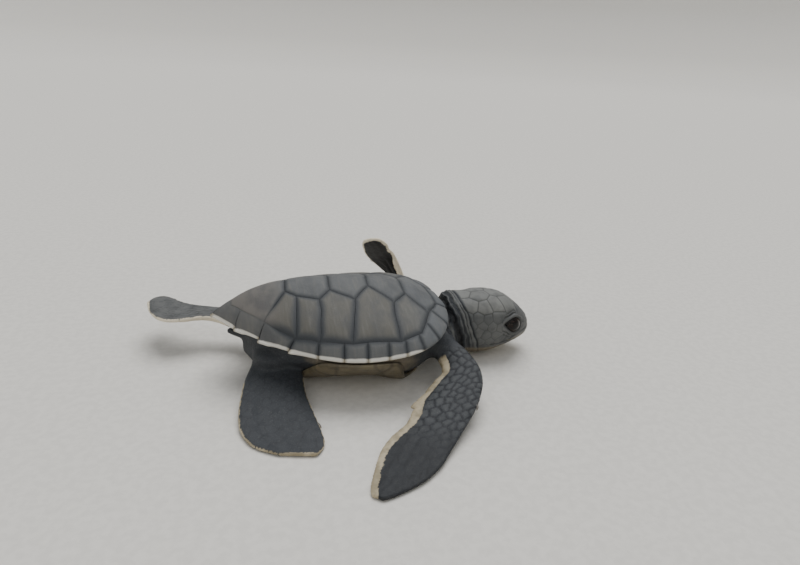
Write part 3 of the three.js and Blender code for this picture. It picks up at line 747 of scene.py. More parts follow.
# Each row is a station from the body to the tip: [x, y, z] of the leading edge and of the trailing edge,
# and the thickness.
FLIPPERS = {
    "front_right": [
        (24, -7, 7.8, 17.6, -8, 6.2, 3.4), (26.2, -12.6, 6.9, 19.9, -13, 5.2, 3),
        (27.1, -18.4, 6, 19.5, -17.4, 4.6, 2.6), (26.3, -22.8, 5.1, 17, -19.4, 3.9, 2.2),
        (24.4, -26.4, 4.2, 14, -22.3, 3, 1.9), (21.9, -29.7, 3.2, 11.3, -25.3, 2.2, 1.7),
        (18.6, -33.2, 2.2, 9.1, -28.3, 1.5, 1.5), (15.1, -36.8, 1.3, 5.7, -30.9, 1, 1.3),
        (12.1, -40.1, 0.8, 3, -34, 0.7, 1.2), (8.2, -43, 0.6, 1, -38.1, 0.55, 1.1),
        (3.6, -44.9, 0.5, -0.6, -42, 0.5, 0.9), (0.8, -45.6, 0.5, -1, -44.2, 0.5, 0.7),
    ],
    "front_left": [
        (24, 8, 7.8, 17.6, 9, 6.2, 3.4), (26.4, 13.6, 6.6, 20.2, 15, 5.2, 3),
        (28, 19.6, 5, 21.4, 19.6, 4.8, 2.6), (27.6, 25.4, 4.4, 22.4, 21.6, 5.4, 2.3),
        (24.6, 29, 5.2, 23.2, 23.2, 7.2, 2), (20.6, 30.8, 8, 23.2, 25, 9.5, 1.8),
        (17.7, 31.4, 10.2, 21.4, 24.6, 13.6, 1.6), (15.5, 30.6, 12.2, 19.9, 23.5, 16.2, 1.4),
        (13.6, 28.6, 14.5, 18.2, 21.6, 17.9, 1.2), (12.3, 25.6, 17, 17, 19.2, 20, 1.1),
        (11.3, 22.6, 19.1, 14.6, 17.6, 21.9, 0.9), (11.1, 20.2, 20.9, 12.4, 17.8, 22, 0.7),
    ],
    "rear_right": [
        (-8.4, -5, 5.6, -16.6, -5, 5, 3), (-7.4, -10.5, 3.6, -18.6, -9.8, 3.4, 2.4),
        (-7.4, -16, 2.3, -19.8, -15.4, 2.2, 1.9), (-6.6, -21.5, 1.3, -20.4, -20.6, 1.3, 1.6),
        (-5.9, -26.6, 0.7, -19.9, -24.8, 0.7, 1.4), (-6, -30.4, 0.5, -18, -28.4, 0.5, 1.1),
        (-7.6, -32.8, 0.5, -14, -31.3, 0.5, 0.8),
    ],
    "rear_left": [
        (-11.5, 8.6, 6.4, -17, 4.8, 5.4, 3), (-16.2, 12.9, 6.7, -21.4, 8.6, 6, 2.5),
        (-21.4, 14.8, 7.2, -24.4, 10.3, 6.7, 2.1), (-26.2, 16, 7.6, -27.2, 10.3, 7.3, 1.8),
        (-30.6, 18, 7.9, -30.8, 9, 7.7, 1.6), (-34.7, 22.4, 8, -34.4, 9, 7.9, 1.3),
        (-37.4, 22.5, 8, -36.8, 11.4, 8, 1.1), (-39.1, 19.6, 8, -38.4, 15.4, 8, 0.8),
    ],
}
EYE_RADIUS = (node_span("eye_right")[1] - node_span("eye_right")[0])[0] / 2
EYE_CENTRE = (node_span("eye_left")[1] + node_span("eye_left")[0]) / 2


def barrel(rows, steps, sides):
    """Rings across X."""
    rows = np.asarray(rows, float)
    if rows[0, 0] > rows[-1, 0]:
        rows = rows[::-1]
    xs = np.linspace(rows[0, 0], rows[-1, 0], steps)
    top, bottom, width = along(rows, xs).T
    angle = 2 * np.pi * (np.arange(sides) + 0.5) / sides
    c, s = np.cos(angle), np.sin(angle)
    out = (np.abs(c) ** SECTION_POWER + np.abs(s) ** SECTION_POWER) ** (-1 / SECTION_POWER)
    y = width[:, None] * c * out
    z = (top + bottom)[:, None] / 2 + (top - bottom)[:, None] / 2 * s * out
    return np.stack([np.repeat(xs[:, None], sides, 1), y, z], -1)


def section_width(up):
    """Half width of a section, as a share, at a share of its half height."""
    return (1 - up**SECTION_POWER) ** (1 / SECTION_POWER)


def trunk_rings():
    """The flesh between carapace and plastron, with rounded ends."""
    across = np.sin(np.linspace(-np.pi / 2, np.pi / 2, 30))
    rings = []
    for station in np.linspace(TRUNK[0][0] - 0.2, TRUNK[-1][0], 60):
        x = np.full(len(across), station)
        y = across * float(along(TRUNK, station)[0])
        under = belly_height(x, y) + BELLY_PLATE + 0.15
        over = height_under(x, y, PLATE + 0.12)
        under = np.minimum(under, over - 0.05)
        lower = np.stack([x, y, under], -1)
        upper = np.stack([x, y, over], -1)[::-1]
        rings.append(np.concatenate([lower, upper]))
    return rings


def ellipsoid(centre, radii):
    """A closed rounded mass of flesh."""
    turns = np.linspace(0.05, np.pi - 0.05, 17)
    around = circle(32)
    rings = [[(np.cos(t), np.sin(t) * np.cos(a), np.sin(t) * np.sin(a)) for a in around] for t in turns]
    return np.array(rings) * np.array(radii) + np.array(centre)


# Section of a flipper as [share of its width, share of its thickness].
BLADE_FORM = [(0, 0), (0.04, 0.6), (0.14, 0.88), (0.32, 1), (0.55, 0.9), (0.8, 0.68), (0.96, 0.5), (1, 0)]


class Blade:
    """A flipper: its smooth edges, and where points lie on it."""

    def __init__(self, rows):
        last = len(rows) - 1
        stations = np.linspace(0, last, last * STATION_STEPS + 1)
        values = along(np.column_stack([np.arange(len(rows)), rows]), stations)
        self.lead, self.trail, self.thick = values[:, 0:3], values[:, 3:6], values[:, 6]
        middle = (self.lead + self.trail) / 2
        run = np.gradient(middle, axis=0)
        up = unit(np.cross(run, self.trail - self.lead))
        self.up = up * np.sign(up[0, 2])
        self.width = np.linalg.norm(self.trail - self.lead, axis=1)
        steps = np.linalg.norm(np.diff(middle, axis=0), axis=1)
        self.reach = np.concatenate([[0], np.cumsum(steps)])

    def rings(self):
        """Thickest a third back from the leading edge, with rounded thin edges."""
        across = (1 - np.cos(np.linspace(0, np.pi, 22))) / 2
        form = np.interp(across, *zip(*BLADE_FORM))
        rings = []
        for lead, trail, up, thick, width in zip(self.lead, self.trail, self.up, self.thick, self.width):
            base = lead + (trail - lead) * across[:, None]
            edge = np.sqrt(clamp01(across * (1 - across) * 4 * width / 1.4))
            half = np.maximum(form * thick / 2, 0.34 * edge)
            top, bottom = base + up * half[:, None], base - up * half[:, None]
            rings.append(np.concatenate([top, bottom[1:-1][::-1]]))
        return rings

    def locate(self, points):
        """For points in mm: way along the flipper, way in from its trailing edge, its width there,
        the way left to its tip, how far over it and away from it they are, and the way to that edge."""
        shares = np.linspace(0, 1, 25)
        grid = self.lead[:, None] + (self.trail - self.lead)[:, None] * shares[None, :, None]
        tree = search_tree(grid.reshape(-1, 3))
        found = np.array([tree.find(p)[1] for p in points])
        row, column = found // len(shares), found % len(shares)
        offset = points - grid[row, column]
        side_way = unit(self.trail - self.lead)[row]
        run_way = unit(np.gradient((self.lead + self.trail) / 2, axis=0))[row]
        run = self.reach[row] + (offset * run_way).sum(1)
        width = np.interp(run, self.reach, self.width)
        across = shares[column] * self.width[row] + (offset * side_way).sum(1)
        lift = (offset * self.up[row]).sum(1)
        away = np.linalg.norm(offset, axis=1)
        return run, width - across, width, self.reach[-1] - run, lift, away, side_way


BLADES = {name: Blade(rows) for name, rows in FLIPPERS.items()}


# Rounded masses of the shoulder and the hip on the left, as [centre], [radii].
LIMB_MASSES = [((21, 8.2, 7), (4.4, 4.4, 3.1)), ((-12.5, 6.4, 6), (4.6, 4.2, 2.4))]


def body_parts():
    """The closed bodies that the hide is drawn over."""
    parts = [loft(barrel(NECK_AND_HEAD, 90, 64)), loft(barrel(TAIL, 24, 32)), loft(trunk_rings())]
    parts += [loft(blade.rings()) for blade in BLADES.values()]
    for side in (-1, 1):
        parts += [loft(ellipsoid((x, side * y, z), radii)) for (x, y, z), radii in LIMB_MASSES]
        lid = np.array(EYE_CENTRE) * (1, side, 1)
        parts.append(loft(ellipsoid(lid, (EYE_RADIUS + 0.2,) * 3)))
    return parts


# ---- hide ---------------------------------------------------------------------------------------------


def voxel_skin(parts, voxel):
    """One closed surface round the bodies, as points and faces in mm."""
    points, faces = joined(parts)
    draft = mesh_object("hide_draft", points, faces, 1.0)
    remesh = draft.modifiers.new("Remesh", "REMESH")
    remesh.mode = "VOXEL"
    remesh.voxel_size = voxel
    remesh.adaptivity = 0.0
    evaluated = draft.evaluated_get(bpy.context.evaluated_depsgraph_get())
    mesh = bpy.data.meshes.new_from_object(evaluated)
    bpy.data.objects.remove(draft)
    return mesh


def read_rows(items, key, width, kind=float):
    """One row of numbers for each point, edge or normal of a mesh."""
    values = np.zeros(len(items) * width, kind)
    items.foreach_get(key, values)
    return values.reshape(-1, width)


def points_and_edges(mesh):
    return read_rows(mesh.vertices, "co", 3), read_rows(mesh.edges, "vertices", 2, np.int32)


def move_to(mesh, points):
    """Moves a mesh to new points, and gives its normals there."""
    mesh.vertices.foreach_set("co", points.ravel())
    mesh.update()
    return read_rows(mesh.vertex_normals, "vector", 3)


def neighbour_mean(values, edges):
    a, b = edges.T
    count = np.bincount(a, minlength=len(values)) + np.bincount(b, minlength=len(values))
    columns = []
    for column in values.T:
        total = np.bincount(a, column[b], len(values)) + np.bincount(b, column[a], len(values))
        columns.append(total / count)
    return np.stack(columns, -1)


def relax(points, edges, share, times):
    """Evens out a surface, by share from 0 to 1 at each point."""
    for _ in range(times):
        points = points + (neighbour_mean(points, edges) - points) * share[:, None]
    return points


def junction_share(points):
    """Where limbs, neck and tail meet the trunk, and the surface is to flow from one to the other."""
    x, y, _ = points.T
    front = bump_at(x - 20, 5.5) * smooth((15 - np.abs(y)) / 4)
    neck = bump_at(x - 24.5, 3) * smooth((9 - np.abs(y)) / 2)
    rear = bump_at(x + 13, 5.5) * smooth((12 - np.abs(y)) / 4)
    return clamp01(np.maximum(np.maximum(front, neck), rear) * 1.3)


def refine(mesh, chosen):
    """Halves the faces between the chosen points."""
    fine = bmesh.new()
    fine.from_mesh(mesh)
    fine.verts.ensure_lookup_table()
    edges = [e for e in fine.edges if chosen[e.verts[0].index] and chosen[e.verts[1].index]]
    bmesh.ops.subdivide_edges(fine, edges=edges, cuts=1, use_grid_fill=True)
    wide = [face for face in fine.faces if len(face.verts) > 4]
    bmesh.ops.triangulate(fine, faces=wide)
    fine.to_mesh(mesh)
    fine.free()


# Slant of the neck's folds and of the back of the head, which lean back towards the top, and the height
# where a place along them is its x.
FOLD_SLANT = 0.36
FOLD_LEVEL = 13.6
HEAD_BACK = 28.4


def fold_place(points):
    """Place along the neck, measured along its slanted folds."""
    return points[:, 0] + FOLD_SLANT * (points[:, 2] - FOLD_LEVEL)


# Centres of the large plates of the head [x, y, z], on one side or on the midline.
HEAD_PLATES = [
    (43.4, 1.1, 10.6), (41.2, 0, 12.1), (37.6, 0, 14), (38.9, 3.4, 12.7), (36.2, 4.5, 12.8),
    (32.7, 1.7, 13.9), (30.5, 3.9, 12.4), (33.3, 5, 12.2), (30, 0, 13.6),
]


def head_seeds():
    """Centres of all the scales of the head."""
    seeds = [(x, side * y, z) for x, y, z in HEAD_PLATES for side in ((1, -1) if y else (1,))]
    rng = np.random.default_rng(7)
    for row, z in enumerate(np.arange(3.2, 11, 1.85)):
        for x in np.arange(29.6 + 1.0 * (row % 2), 37.4, 2.05):
            jitter = rng.uniform(-0.5, 0.5, 2)
            top, bottom, width = along(NECK_AND_HEAD, x)
            up = (z - (top + bottom) / 2) / ((top - bottom) / 2)
            y = width * section_width(min(abs(up), 0.98))
            seeds += [(x + jitter[0], side * y, z + jitter[1]) for side in (-1, 1)]
    # Below and before the eye the scales are longer.
    for x, y, z in [(39.2, 5.9, 4.3), (41.6, 4.9, 4.9), (43.4, 3.8, 6.6), (45, 2, 6.6), (44.6, 1.2, 9)]:
        seeds += [(x, side * y, z) for side in (-1, 1)]
    return np.array(seeds)


def seam_distance(points, seeds):
    """Distance from each point to the border between its two nearest seeds, and the nearest seed."""
    tree = search_tree(seeds)
    found = [tree.find_n(p, 2) for p in points]
    near = np.array([[f[0][2], f[1][2]] for f in found])
    index = np.array([[f[0][1], f[1][1]] for f in found])
    apart = np.linalg.norm(seeds[index[:, 0]] - seeds[index[:, 1]], axis=1)
    return (near[:, 1] ** 2 - near[:, 0] ** 2) / (2 * np.maximum(apart, 0.1)), index[:, 0]


def flipper_seeds(blade, fore):
    """Centres of a flipper's scales as [way along, way in from the trailing edge, 0]."""
    rng = np.random.default_rng(11)
    rows = [0.75, 2.5, 4.3, 5.9, 7.3, 8.6, 9.9, 11.2] if fore else np.arange(0.6, 14, 1.5)
    seeds = []
    for number, inset in enumerate(rows):
        place = 0.6 * (number % 2)
        while place < blade.reach[-1] + 2:
            width = float(np.interp(place, blade.reach, blade.width))
            far = place / blade.reach[-1]
            pitch = (1.9 if number < 3 else 1.6) + 1.3 * far
            if inset < width + 0.6:
                seeds.append((place + rng.uniform(-0.42, 0.42), inset + rng.uniform(-0.3, 0.3), 0))
            place += pitch
    return np.array(seeds)


def eye_axes(side):
    """Axes of an eye: out through its middle, forward and up along its opening."""
    out = unit(np.array([0.3, side * 1.0, 0.1]))
    up = unit(np.cross(unit(np.array([1.0, -side * 0.3, -0.2])), out)) * side
    return out, unit(np.cross(out, up)) * side, up


def mouth_height(x):
    """Height of the line where the jaws meet."""
    return 4.55 - 0.6 * smooth((41 - x) / 5) + 0.25 * smooth((x - 43) / 3)


def plate_side(points):
    """Turns a place on the left side of the head to the side that each point is on."""
    return np.stack([np.ones(len(points)), np.sign(points[:, 1]), np.ones(len(points))], -1)


def shape_head(points, normals, sizes):
    """Moves the points of the head into lids, plates, nostrils and mouth, and says where each is."""
    x, _, z = points.T
    behind = fold_place(points)
    on_head = smooth((behind - HEAD_BACK) / 0.6)
    seam, plate = seam_distance(points, head_seeds())
    seam = np.where(on_head > 0.5, seam, NO_SEAM)
    throat = smooth((3.6 - z) / 1.5)
    cheek = smooth((11.6 - z) / 1.2)
    depth = sizes.plate_groove / MM * (1 - 0.6 * throat) * (1 - 0.4 * cheek)
    move = -depth * bump_at(seam, 0.17) + 0.06 * smooth(seam / 0.7)
    beak = smooth((x - 40.4) / 1.2) * smooth((7.6 - z) / 1.6)
    move *= 1 - 0.75 * beak
    mouth = bump_at(z - mouth_height(x), 0.19) * smooth((x - 34.4) / 1.2)
    move -= 0.5 * mouth
    # Painted shade along the line where the jaws meet.
    fold = 0.85 * mouth
    points = points + normals * (move * on_head)[:, None]
    for side in (-1, 1):
        nostril = np.array([45.35, side * 0.85, 7.75])
        pit = bump_at(np.linalg.norm(points - nostril, axis=1), 0.34)
        points = points - normals * (0.45 * pit)[:, None]
        # Painted shade in the nostril pit.
        fold = np.maximum(fold, 0.9 * pit)
        points, lid_fold, eye_zone = shape_lids(points, side)
        fold = np.maximum(fold, lid_fold)
        seam = np.where(eye_zone > 0.5, NO_SEAM, seam)
    # Each plate has its own tone, and the one at the temple is the palest. The head is also painted lighter
    # towards its top, as painted light.
    tone = np.random.default_rng(3).uniform(-0.1, 0.1, plate.max() + 1)[plate]
    temple = bump_at(np.linalg.norm(points - np.array([36.2, 4.5, 12.6]) * plate_side(points), axis=1), 1.7)
    light = on_head * (0.42 + 0.42 * smooth((z - 10.8) / 1.6) + tone + 0.42 * temple)
    return points, seam + 0.1 + 0.07 * cheek + 0.1 * throat, fold, on_head, light


def shape_lids(points, side):
    """Opens the lids over one eye: rims that stand proud of the ball, and creases around them."""
    centre = EYE_CENTRE * (1, side, 1)
    out, forward, up = eye_axes(side)
    away = points - centre
    radius = np.linalg.norm(away, axis=1)
    way = away / radius[:, None]
    outward = (way * out).sum(1)
    level = np.arctan2((way * forward).sum(1), np.maximum(outward, 1e-3))
    rise = np.arctan2((way * up).sum(1), np.maximum(outward, 1e-3))
    half_rise = np.where(rise > 0, 0.8, 0.7)
    opening = np.sqrt((level / 1.08) ** 2 + (rise / half_rise) ** 2)
    near = (radius < EYE_RADIUS + 1.2) & (outward > 0.15)
    inside = smooth((1.0 - opening) / 0.06) * near
    # Between the lids the hide is sunk below the eyeball's surface.
    ball = EYE_RADIUS - 0.5
    lid = bump_at(opening - 1.13, 0.16) * 0.2
    crease = bump_at(opening - 1.4, 0.08) * 0.2 + bump_at(opening - 1.68, 0.07) * 0.14
    crease = np.where(rise > -0.2, crease, crease * 0.8)
    reach = radius + np.where(near, lid - crease, 0.0)
    reach = reach * (1 - inside) + ball * inside
    zone = near * smooth((1.9 - opening) / 0.3)
    # Painted shade between the lids and in the creases round them.
    fold = near * np.maximum(inside, 0.5 * (crease > 0.05) * zone)
    return centre + way * reach[:, None], fold, zone


# Valleys between the neck's large folds: how far back from the head, half width and depth.
NECK_VALLEYS = [(0.0, 0.24, 0.55), (1.9, 0.3, 0.5), (3.6, 0.75, 1.1), (6, 0.5, 0.8)]


def shape_neck(points, normals, sizes):
    """Gathers the neck into slanted folds: a few large ones, and fine ones that draw together at the nape."""
    warp = 0.6 * noise_at(points, 3.4, 1) + 0.24 * noise_at(points, 1.3, 2)
    place = fold_place(points) + warp
    behind = HEAD_BACK - place
    on_neck = smooth((place - 19.5) / 1.5) * smooth((behind + 0.5) / 0.5)
    on_neck = on_neck * smooth((10.5 - np.abs(points[:, 1])) / 2.5)
    valley = np.zeros(len(points))
    for back, width, depth in NECK_VALLEYS:
        valley = np.maximum(valley, depth * bump_at(behind - back, width))
    strands = 1.15 - 0.4 * smooth((points[:, 2] - 7) / 6)
    fine = (1 - np.abs(np.sin(np.pi * behind / strands)) ** 0.8) * (0.75 + 0.5 * noise_at(points, 1.6, 8))
    throat = smooth((4.5 - points[:, 2]) / 2)
    depth = sizes.fold_depth / MM * (1 - 0.4 * throat)
    move = depth * (0.3 - valley - 0.5 * fine) * on_neck + 0.1 * noise_at(points, 0.8, 6) * on_neck
    points = points + normals * move[:, None]
    # Painted shade in the folds' valleys and fine grooves, and a painted highlight on the ridges between
    # them.
    dark = np.maximum(smooth((valley - 0.3) / 0.6), 0.8 * smooth((fine - 0.3) / 0.45))
    ridge = on_neck * (1 - smooth(valley / 0.3)) * (1 - fine)
    return points, 0.7 * dark * on_neck, ridge


# Where the flange before the right fore flipper's wrist ends, as a station number.
NOTCH_STATION = 4.8
# Width of the cream border along the right fore flipper's trailing edge, as [share of its reach, mm].
RIGHT_BORDER = [(0, 1.8), (0.34, 1.8), (0.43, 1.45), (0.5, 2.05), (0.66, 1.75), (0.8, 1.35), (1, 1.25)]


def border_edges(name, far, inset, width, left):
    """How far inside the cream border each point is, for each of the edges that have one."""
    if name == "front_right":
        return [np.interp(far, *zip(*RIGHT_BORDER)) - inset]
    if name == "front_left":
        flap = 1.8 * smooth((far - 0.06) / 0.42) - 1.1 * smooth((far - 0.62) / 0.08)
        return [flap - inset, 0.8 * smooth((far - 0.12) / 0.3) - 0.1 - (width - inset), 0.75 - left]
    rim = (0.5 if name == "rear_left" else 0.3) * smooth((far - 0.1) / 0.2)
    return [rim - inset, 0.7 * rim - (width - inset), rim - left]


def shape_flipper(points, normals, name, sizes):
    """Scales one flipper, says how cream it is near its edges, and where it takes painted shade and painted
    light.
    """
    blade = BLADES[name]
    fore = name.startswith("front")
    run, inset, width, left, lift, away, rearward = blade.locate(points)
    on_blade = smooth((2.6 - away) / 0.8) * smooth((run - 4.5) / 3)
    flat = np.stack([run, inset, np.zeros(len(run))], -1)
    seam, _ = seam_distance(flat, flipper_seeds(blade, fore))
    far = clamp01(run / blade.reach[-1])
    edge_fade = smooth(np.minimum(width - inset, left) / 0.8)
    # The border's inner edge is scalloped by the scales that it runs over.
    scallop = 0.16 * smooth(seam / 0.6) - 0.08
    inside = np.max(border_edges(name, far, inset, width, left), axis=0) + scallop
    border = smooth(inside / 0.45 + 0.5) * on_blade * smooth((run - 5) / 2.5)
    past_wrist = smooth((far - 0.5) / 0.25)
    strength = (1 - 0.75 * past_wrist) if fore else np.full(len(far), 0.35)
    strength = strength * (1 - 0.5 * border)
    groove = sizes.scale_groove / MM * strength
    move = (-groove * bump_at(seam, 0.2) + 0.03 * strength * smooth(seam / 0.6)) * edge_fade
    # Lengthwise wrinkles of the webs between the digits.
    swing = noise_at(points, 4, 3)
    fan = np.sin(2 * np.pi * inset / np.maximum(width, 1) * 4 + swing)
    fine = np.sin(2 * np.pi * inset / 0.9 + 3 * swing) * smooth(0.6 + noise_at(points, 2.2, 9))
    web = smooth((far - 0.35) / 0.2) * edge_fade
    wrinkled = 1 if name == "rear_left" else 0.2
    move += (0.045 * fan + 0.045 * wrinkled * fine) * web
    points = points + normals * (move * on_blade)[:, None]
    if name == "front_right":
        # Before the wrist the border stands out as a flange that ends in a notch, and its scales tooth it.
        notch = blade.reach[round(NOTCH_STATION * STATION_STEPS)]
        flange = 0.85 * smooth((run - notch + 4.5) / 4) * smooth((notch + 0.3 - run) / 0.5)
        teeth = 0.16 * bump_at(seam, 0.2) * smooth((0.7 - far) / 0.2)
        points = points + rearward * ((flange - teeth) * smooth((1.8 - inset) / 1.8) * on_blade)[:, None]
    border = border * (1 - 0.15 * bump_at(seam, 0.12))
    # Painted shade, near-black: on the blade's underside, which is also darker of itself, in the creases of
    # the wrinkled webs, and on the front flippers past the wrist.
    crease = 0.4 * wrinkled * smooth((-0.2 - fine) / 0.6) * web
    dusk = 0.42 * past_wrist if fore else 0
    below = np.maximum(0.95 * smooth(-lift / 0.3), crease + dusk) * on_blade * (1 - border)
    # On the front flippers only the scales' raised middles take painted light, and only before the wrist; the
    # rear flippers take it all over.
    rubbed = on_blade * (smooth(seam / 0.7) * strength if fore else 1)
    seam = np.where(on_blade > 0.3, seam + 0.04 + (1 - strength) * 0.2, NO_SEAM)
    return points, seam, border, below, rubbed, on_blade


# How much painted sunlight each flipper's border takes, and how much of the crown's light tone its scales
# take as painted light.
FLIPPER_TONES = {
    "front_right": (0.0, 0.15), "front_left": (1.0, 0.08), "rear_right": (0.0, 0.0), "rear_left": (0.7, 0.45),
}


def build_hide(sizes, material):
    mesh = voxel_skin(body_parts(), sizes.voxel / MM)
    points, edges = points_and_edges(mesh)
    # Limbs, neck and tail flow into the trunk, and then the whole is evened out a little.
    points = relax(points, edges, junction_share(points) * 0.6, 30)
    points = relax(points, edges, np.full(len(points), 0.35), 2)
    mesh.vertices.foreach_set("co", points.ravel())
    # Neck and head have the finest forms, so they get smaller faces.
    refine(mesh, (fold_place(points) > 20) & (np.abs(points[:, 1]) < 10))
    points, edges = points_and_edges(mesh)
    points = relax(points, edges, (fold_place(points) > 20.5) * 0.5, 3)
    points, neck_fold, ridge = shape_neck(points, move_to(mesh, points), sizes)
    points, seam, head_fold, on_head, light = shape_head(points, move_to(mesh, points), sizes)
    # The ridges of the neck's folds take a painted highlight.
    light = np.maximum(light, 0.6 * ridge)
    # Painted shade of the neck's folds and of the head's mouth, nostrils and lids.
    fold = np.maximum(neck_fold, head_fold)
    border, bleached, below = np.zeros((3, len(points)))
    scaled = on_head.copy()
    for name in FLIPPERS:
        points, *found = shape_flipper(points, move_to(mesh, points), name, sizes)
        blade_seam, blade_border, blade_below, rubbed, on_blade = found
        cream, lit = FLIPPER_TONES[name]
        seam = np.minimum(seam, blade_seam)
        border = np.maximum(border, blade_border)
        bleached = np.maximum(bleached, cream * blade_border)
        light = np.maximum(light, lit * rubbed)
        below = np.maximum(below, blade_below)
        scaled = np.maximum(scaled, on_blade)
    points[:, 2] = np.maximum(points[:, 2], 0)
    x, y, z = points.T
    pale = smooth((4.4 - z) / 2.4) * smooth((x - 20) / 4) * smooth((9 - np.abs(y)) / 2)
    ragged = x + 2.4 * noise_at(points, 3.2, 12)
    flank = smooth((np.abs(y) - 9) / 5) * smooth((10.2 - z) / 0.5)
    flank = flank * smooth((ragged + 12) / 9) * smooth((20 - ragged) / 9)
    pale = np.maximum(pale, 0.7 * flank * (1 - scaled))
    mesh.vertices.foreach_set("co", (points * MM).ravel())
    mesh.update()
    mesh.shade_smooth()
    piece = linked("hide", mesh)
    store(piece, seam=seam, fold=fold, pale=pale, light=light, granular=1 - scaled)
    store(piece, border=border, bleached=bleached, below=below)
    flesh = [name.replace("_", "_flipper_") for name in FLIPPERS]
    dress(piece, material, "skin", "trunk", "neck", "head", "tail", *flesh)


# ---- eyes, beak and claws -----------------------------------------------------------------------------


def build_eyes(material):
    turns = np.linspace(0.02, np.pi - 0.02, 48)
    around = circle(64)
    cornea = 0.12 * smooth((0.75 - turns) / 0.5)
    radius = EYE_RADIUS - 0.16 + cornea
    for name, side in (("right", -1), ("left", 1)):
        centre = EYE_CENTRE * (1, side, 1)
        out, forward, up = eye_axes(side)
        rings = []
        for turn, reach in zip(turns, radius):
            sideways = np.cos(around)[:, None] * forward + np.sin(around)[:, None] * up
            rings.append(centre + (np.cos(turn) * out + np.sin(turn) * sideways) * reach)
        points, faces = loft(rings)
        piece = mesh_object(f"eyeball_{name}", points, faces)
        store(piece, off_axis=np.concatenate([np.repeat(turns, len(around)), [0, np.pi]]))
        dress(piece, material, "eye", f"eye_{name}")


# Just behind the front of the snout, the rear of the beak's horn, and the height where its columns are set.
SNOUT_X = 46.45
BEAK_REAR_X = 39.6
BEAK_LEVEL = 4.6
# How far each sheath reaches down or up from the line where the jaws meet.
SHEATH_REACH = {"beak_lower": -1.1, "beak_upper": 1.35}


def snout_at(height):
    """How far forward the head comes at a height."""
    xs = np.linspace(BEAK_REAR_X, SNOUT_X, 1500)
    top, bottom, _ = along(NECK_AND_HEAD, xs).T
    return xs[(bottom <= height) & (height <= top)].max()


def jaw_outline(height, grow):
    """The head's outline seen from above at a height, from the right cheek round the snout to the left."""
    front = snout_at(height)
    xs = front - (front - BEAK_REAR_X) * (1 - np.cos(np.linspace(0, np.pi / 2, 40)))
    top, bottom, width = along(NECK_AND_HEAD, xs).T
    up = clamp01(np.abs(height - (top + bottom) / 2) / ((top - bottom) / 2))
    y = (width + grow) * section_width(np.minimum(up, 0.995))
    left = np.stack([xs + grow * 0.6, y, np.full(len(xs), height)], -1)
    return np.concatenate([left[::-1] * (1, -1, 1), left])


# Section of a sheath, as [share of its height away from the mouth, how far it stands out].
SHEATH = [(0.02, -0.25), (0.02, 0.1), (0.2, 0.16), (0.45, 0.16), (0.7, 0.12), (0.95, 0.02), (1.0, -0.2)]


def build_beak(material):
    """The horn sheaths of the jaws as strips that wrap the snout."""
    xs = jaw_outline(BEAK_LEVEL, 0)[:, 0]
    fade = smooth((xs - 39.8) / 2.2)
    for name, tall in SHEATH_REACH.items():
        base = mouth_height(xs) + math.copysign(0.1, tall)
        rings = []
        for share, grow in SHEATH:
            heights = base + tall * share * (0.35 + 0.65 * fade)
            rings.append([jaw_outline(height, grow)[i] for i, height in enumerate(heights)])
        points, faces = loft(np.array(rings).transpose(1, 0, 2))
        piece = mesh_object(name, points, faces)
        edge = np.array([1 - smooth(share / 0.35) for share, _ in SHEATH])
        store(piece, edge=np.concatenate([np.tile(edge, len(xs)), [0, 0]]))
        # The upper sheath lies over the head, which the hide stands for.
        dress(piece, material, "beak", *(["lower_jaw"] if tall < 0 else []))


# Where on each flipper's leading edge its claw sits, as a station number.
CLAWS = {"front_right": 4.6, "front_left": 6.6, "rear_right": 3.6, "rear_left": 4.6}
# A claw's length, and how much its radius loses from root to point.
CLAW_LENGTH = 1.3
CLAW_RADIUS = 0.33


def build_claws(material):
    shares = np.linspace(0, 1, 14)
    angles = circle(20)
    for name, station in CLAWS.items():
        blade = BLADES[name]
        i = round(station * STATION_STEPS)
        root = blade.lead[i]
        out = unit(blade.lead[i] - blade.trail[i])
        onward = unit(blade.lead[i + 1] - blade.lead[i - 1])
        rings = []
        for share in shares:
            way = unit(out * (0.9 - 0.5 * share) + onward * (0.8 + 0.5 * share))
            centre = root - out * 0.35 + way * CLAW_LENGTH * share
            radius = CLAW_RADIUS * (1 - share) ** 0.7 + 0.03
            across = unit(np.cross(way, blade.up[i]))
            ring = np.cos(angles)[:, None] * across + 0.8 * np.sin(angles)[:, None] * blade.up[i]
            rings.append(centre + ring * radius)
        points, faces = loft(rings)
        points[:, 2] = np.maximum(points[:, 2], 0)
        piece = mesh_object(f"claw_horn_{name}", points, faces)
        tip = np.repeat(shares, len(angles))
        store(piece, tip=np.concatenate([tip, [0, 1]]) * 0.5)
        dress(piece, material, "claw", f"claw_{name}")


# ---- stage --------------------------------------------------------------------------------------------


# The floor's section from its middle outwards, as [radius, height] in metres.
FLOOR = [
    (0.001, 0), (0.5, 0), (1.2, 0), (1.5, 0.01), (1.9, 0.07), (2.3, 0.22), (2.6, 0.5), (2.75, 0.9),
    (2.8, 1.5),
]


def build_floor(colours):
    """A pale floor that curves up all round into its own backdrop, open at the top."""
    around = circle(96)
    rings = [[(r * math.cos(a), r * math.sin(a), z) for a in around] for r, z in FLOOR]
    points, faces = loft(rings)
    faces = [face for face in faces if len(points) - 1 not in face]
    floor = mesh_object("floor", points, faces, 1.0)
    floor.data.materials.append(paper_material(colours))


def far_light(name, source, spread, strength):
    """A soft light from far away in the direction of source, as wide as spread in degrees."""
    light = bpy.data.lights.new(name, "SUN")
    light.angle = math.radians(spread)
    light.energy = strength
    obj = linked(name, light)
    obj.location = source
    obj.rotation_euler = (-Vector(source)).to_track_quat("-Z", "Y").to_euler()


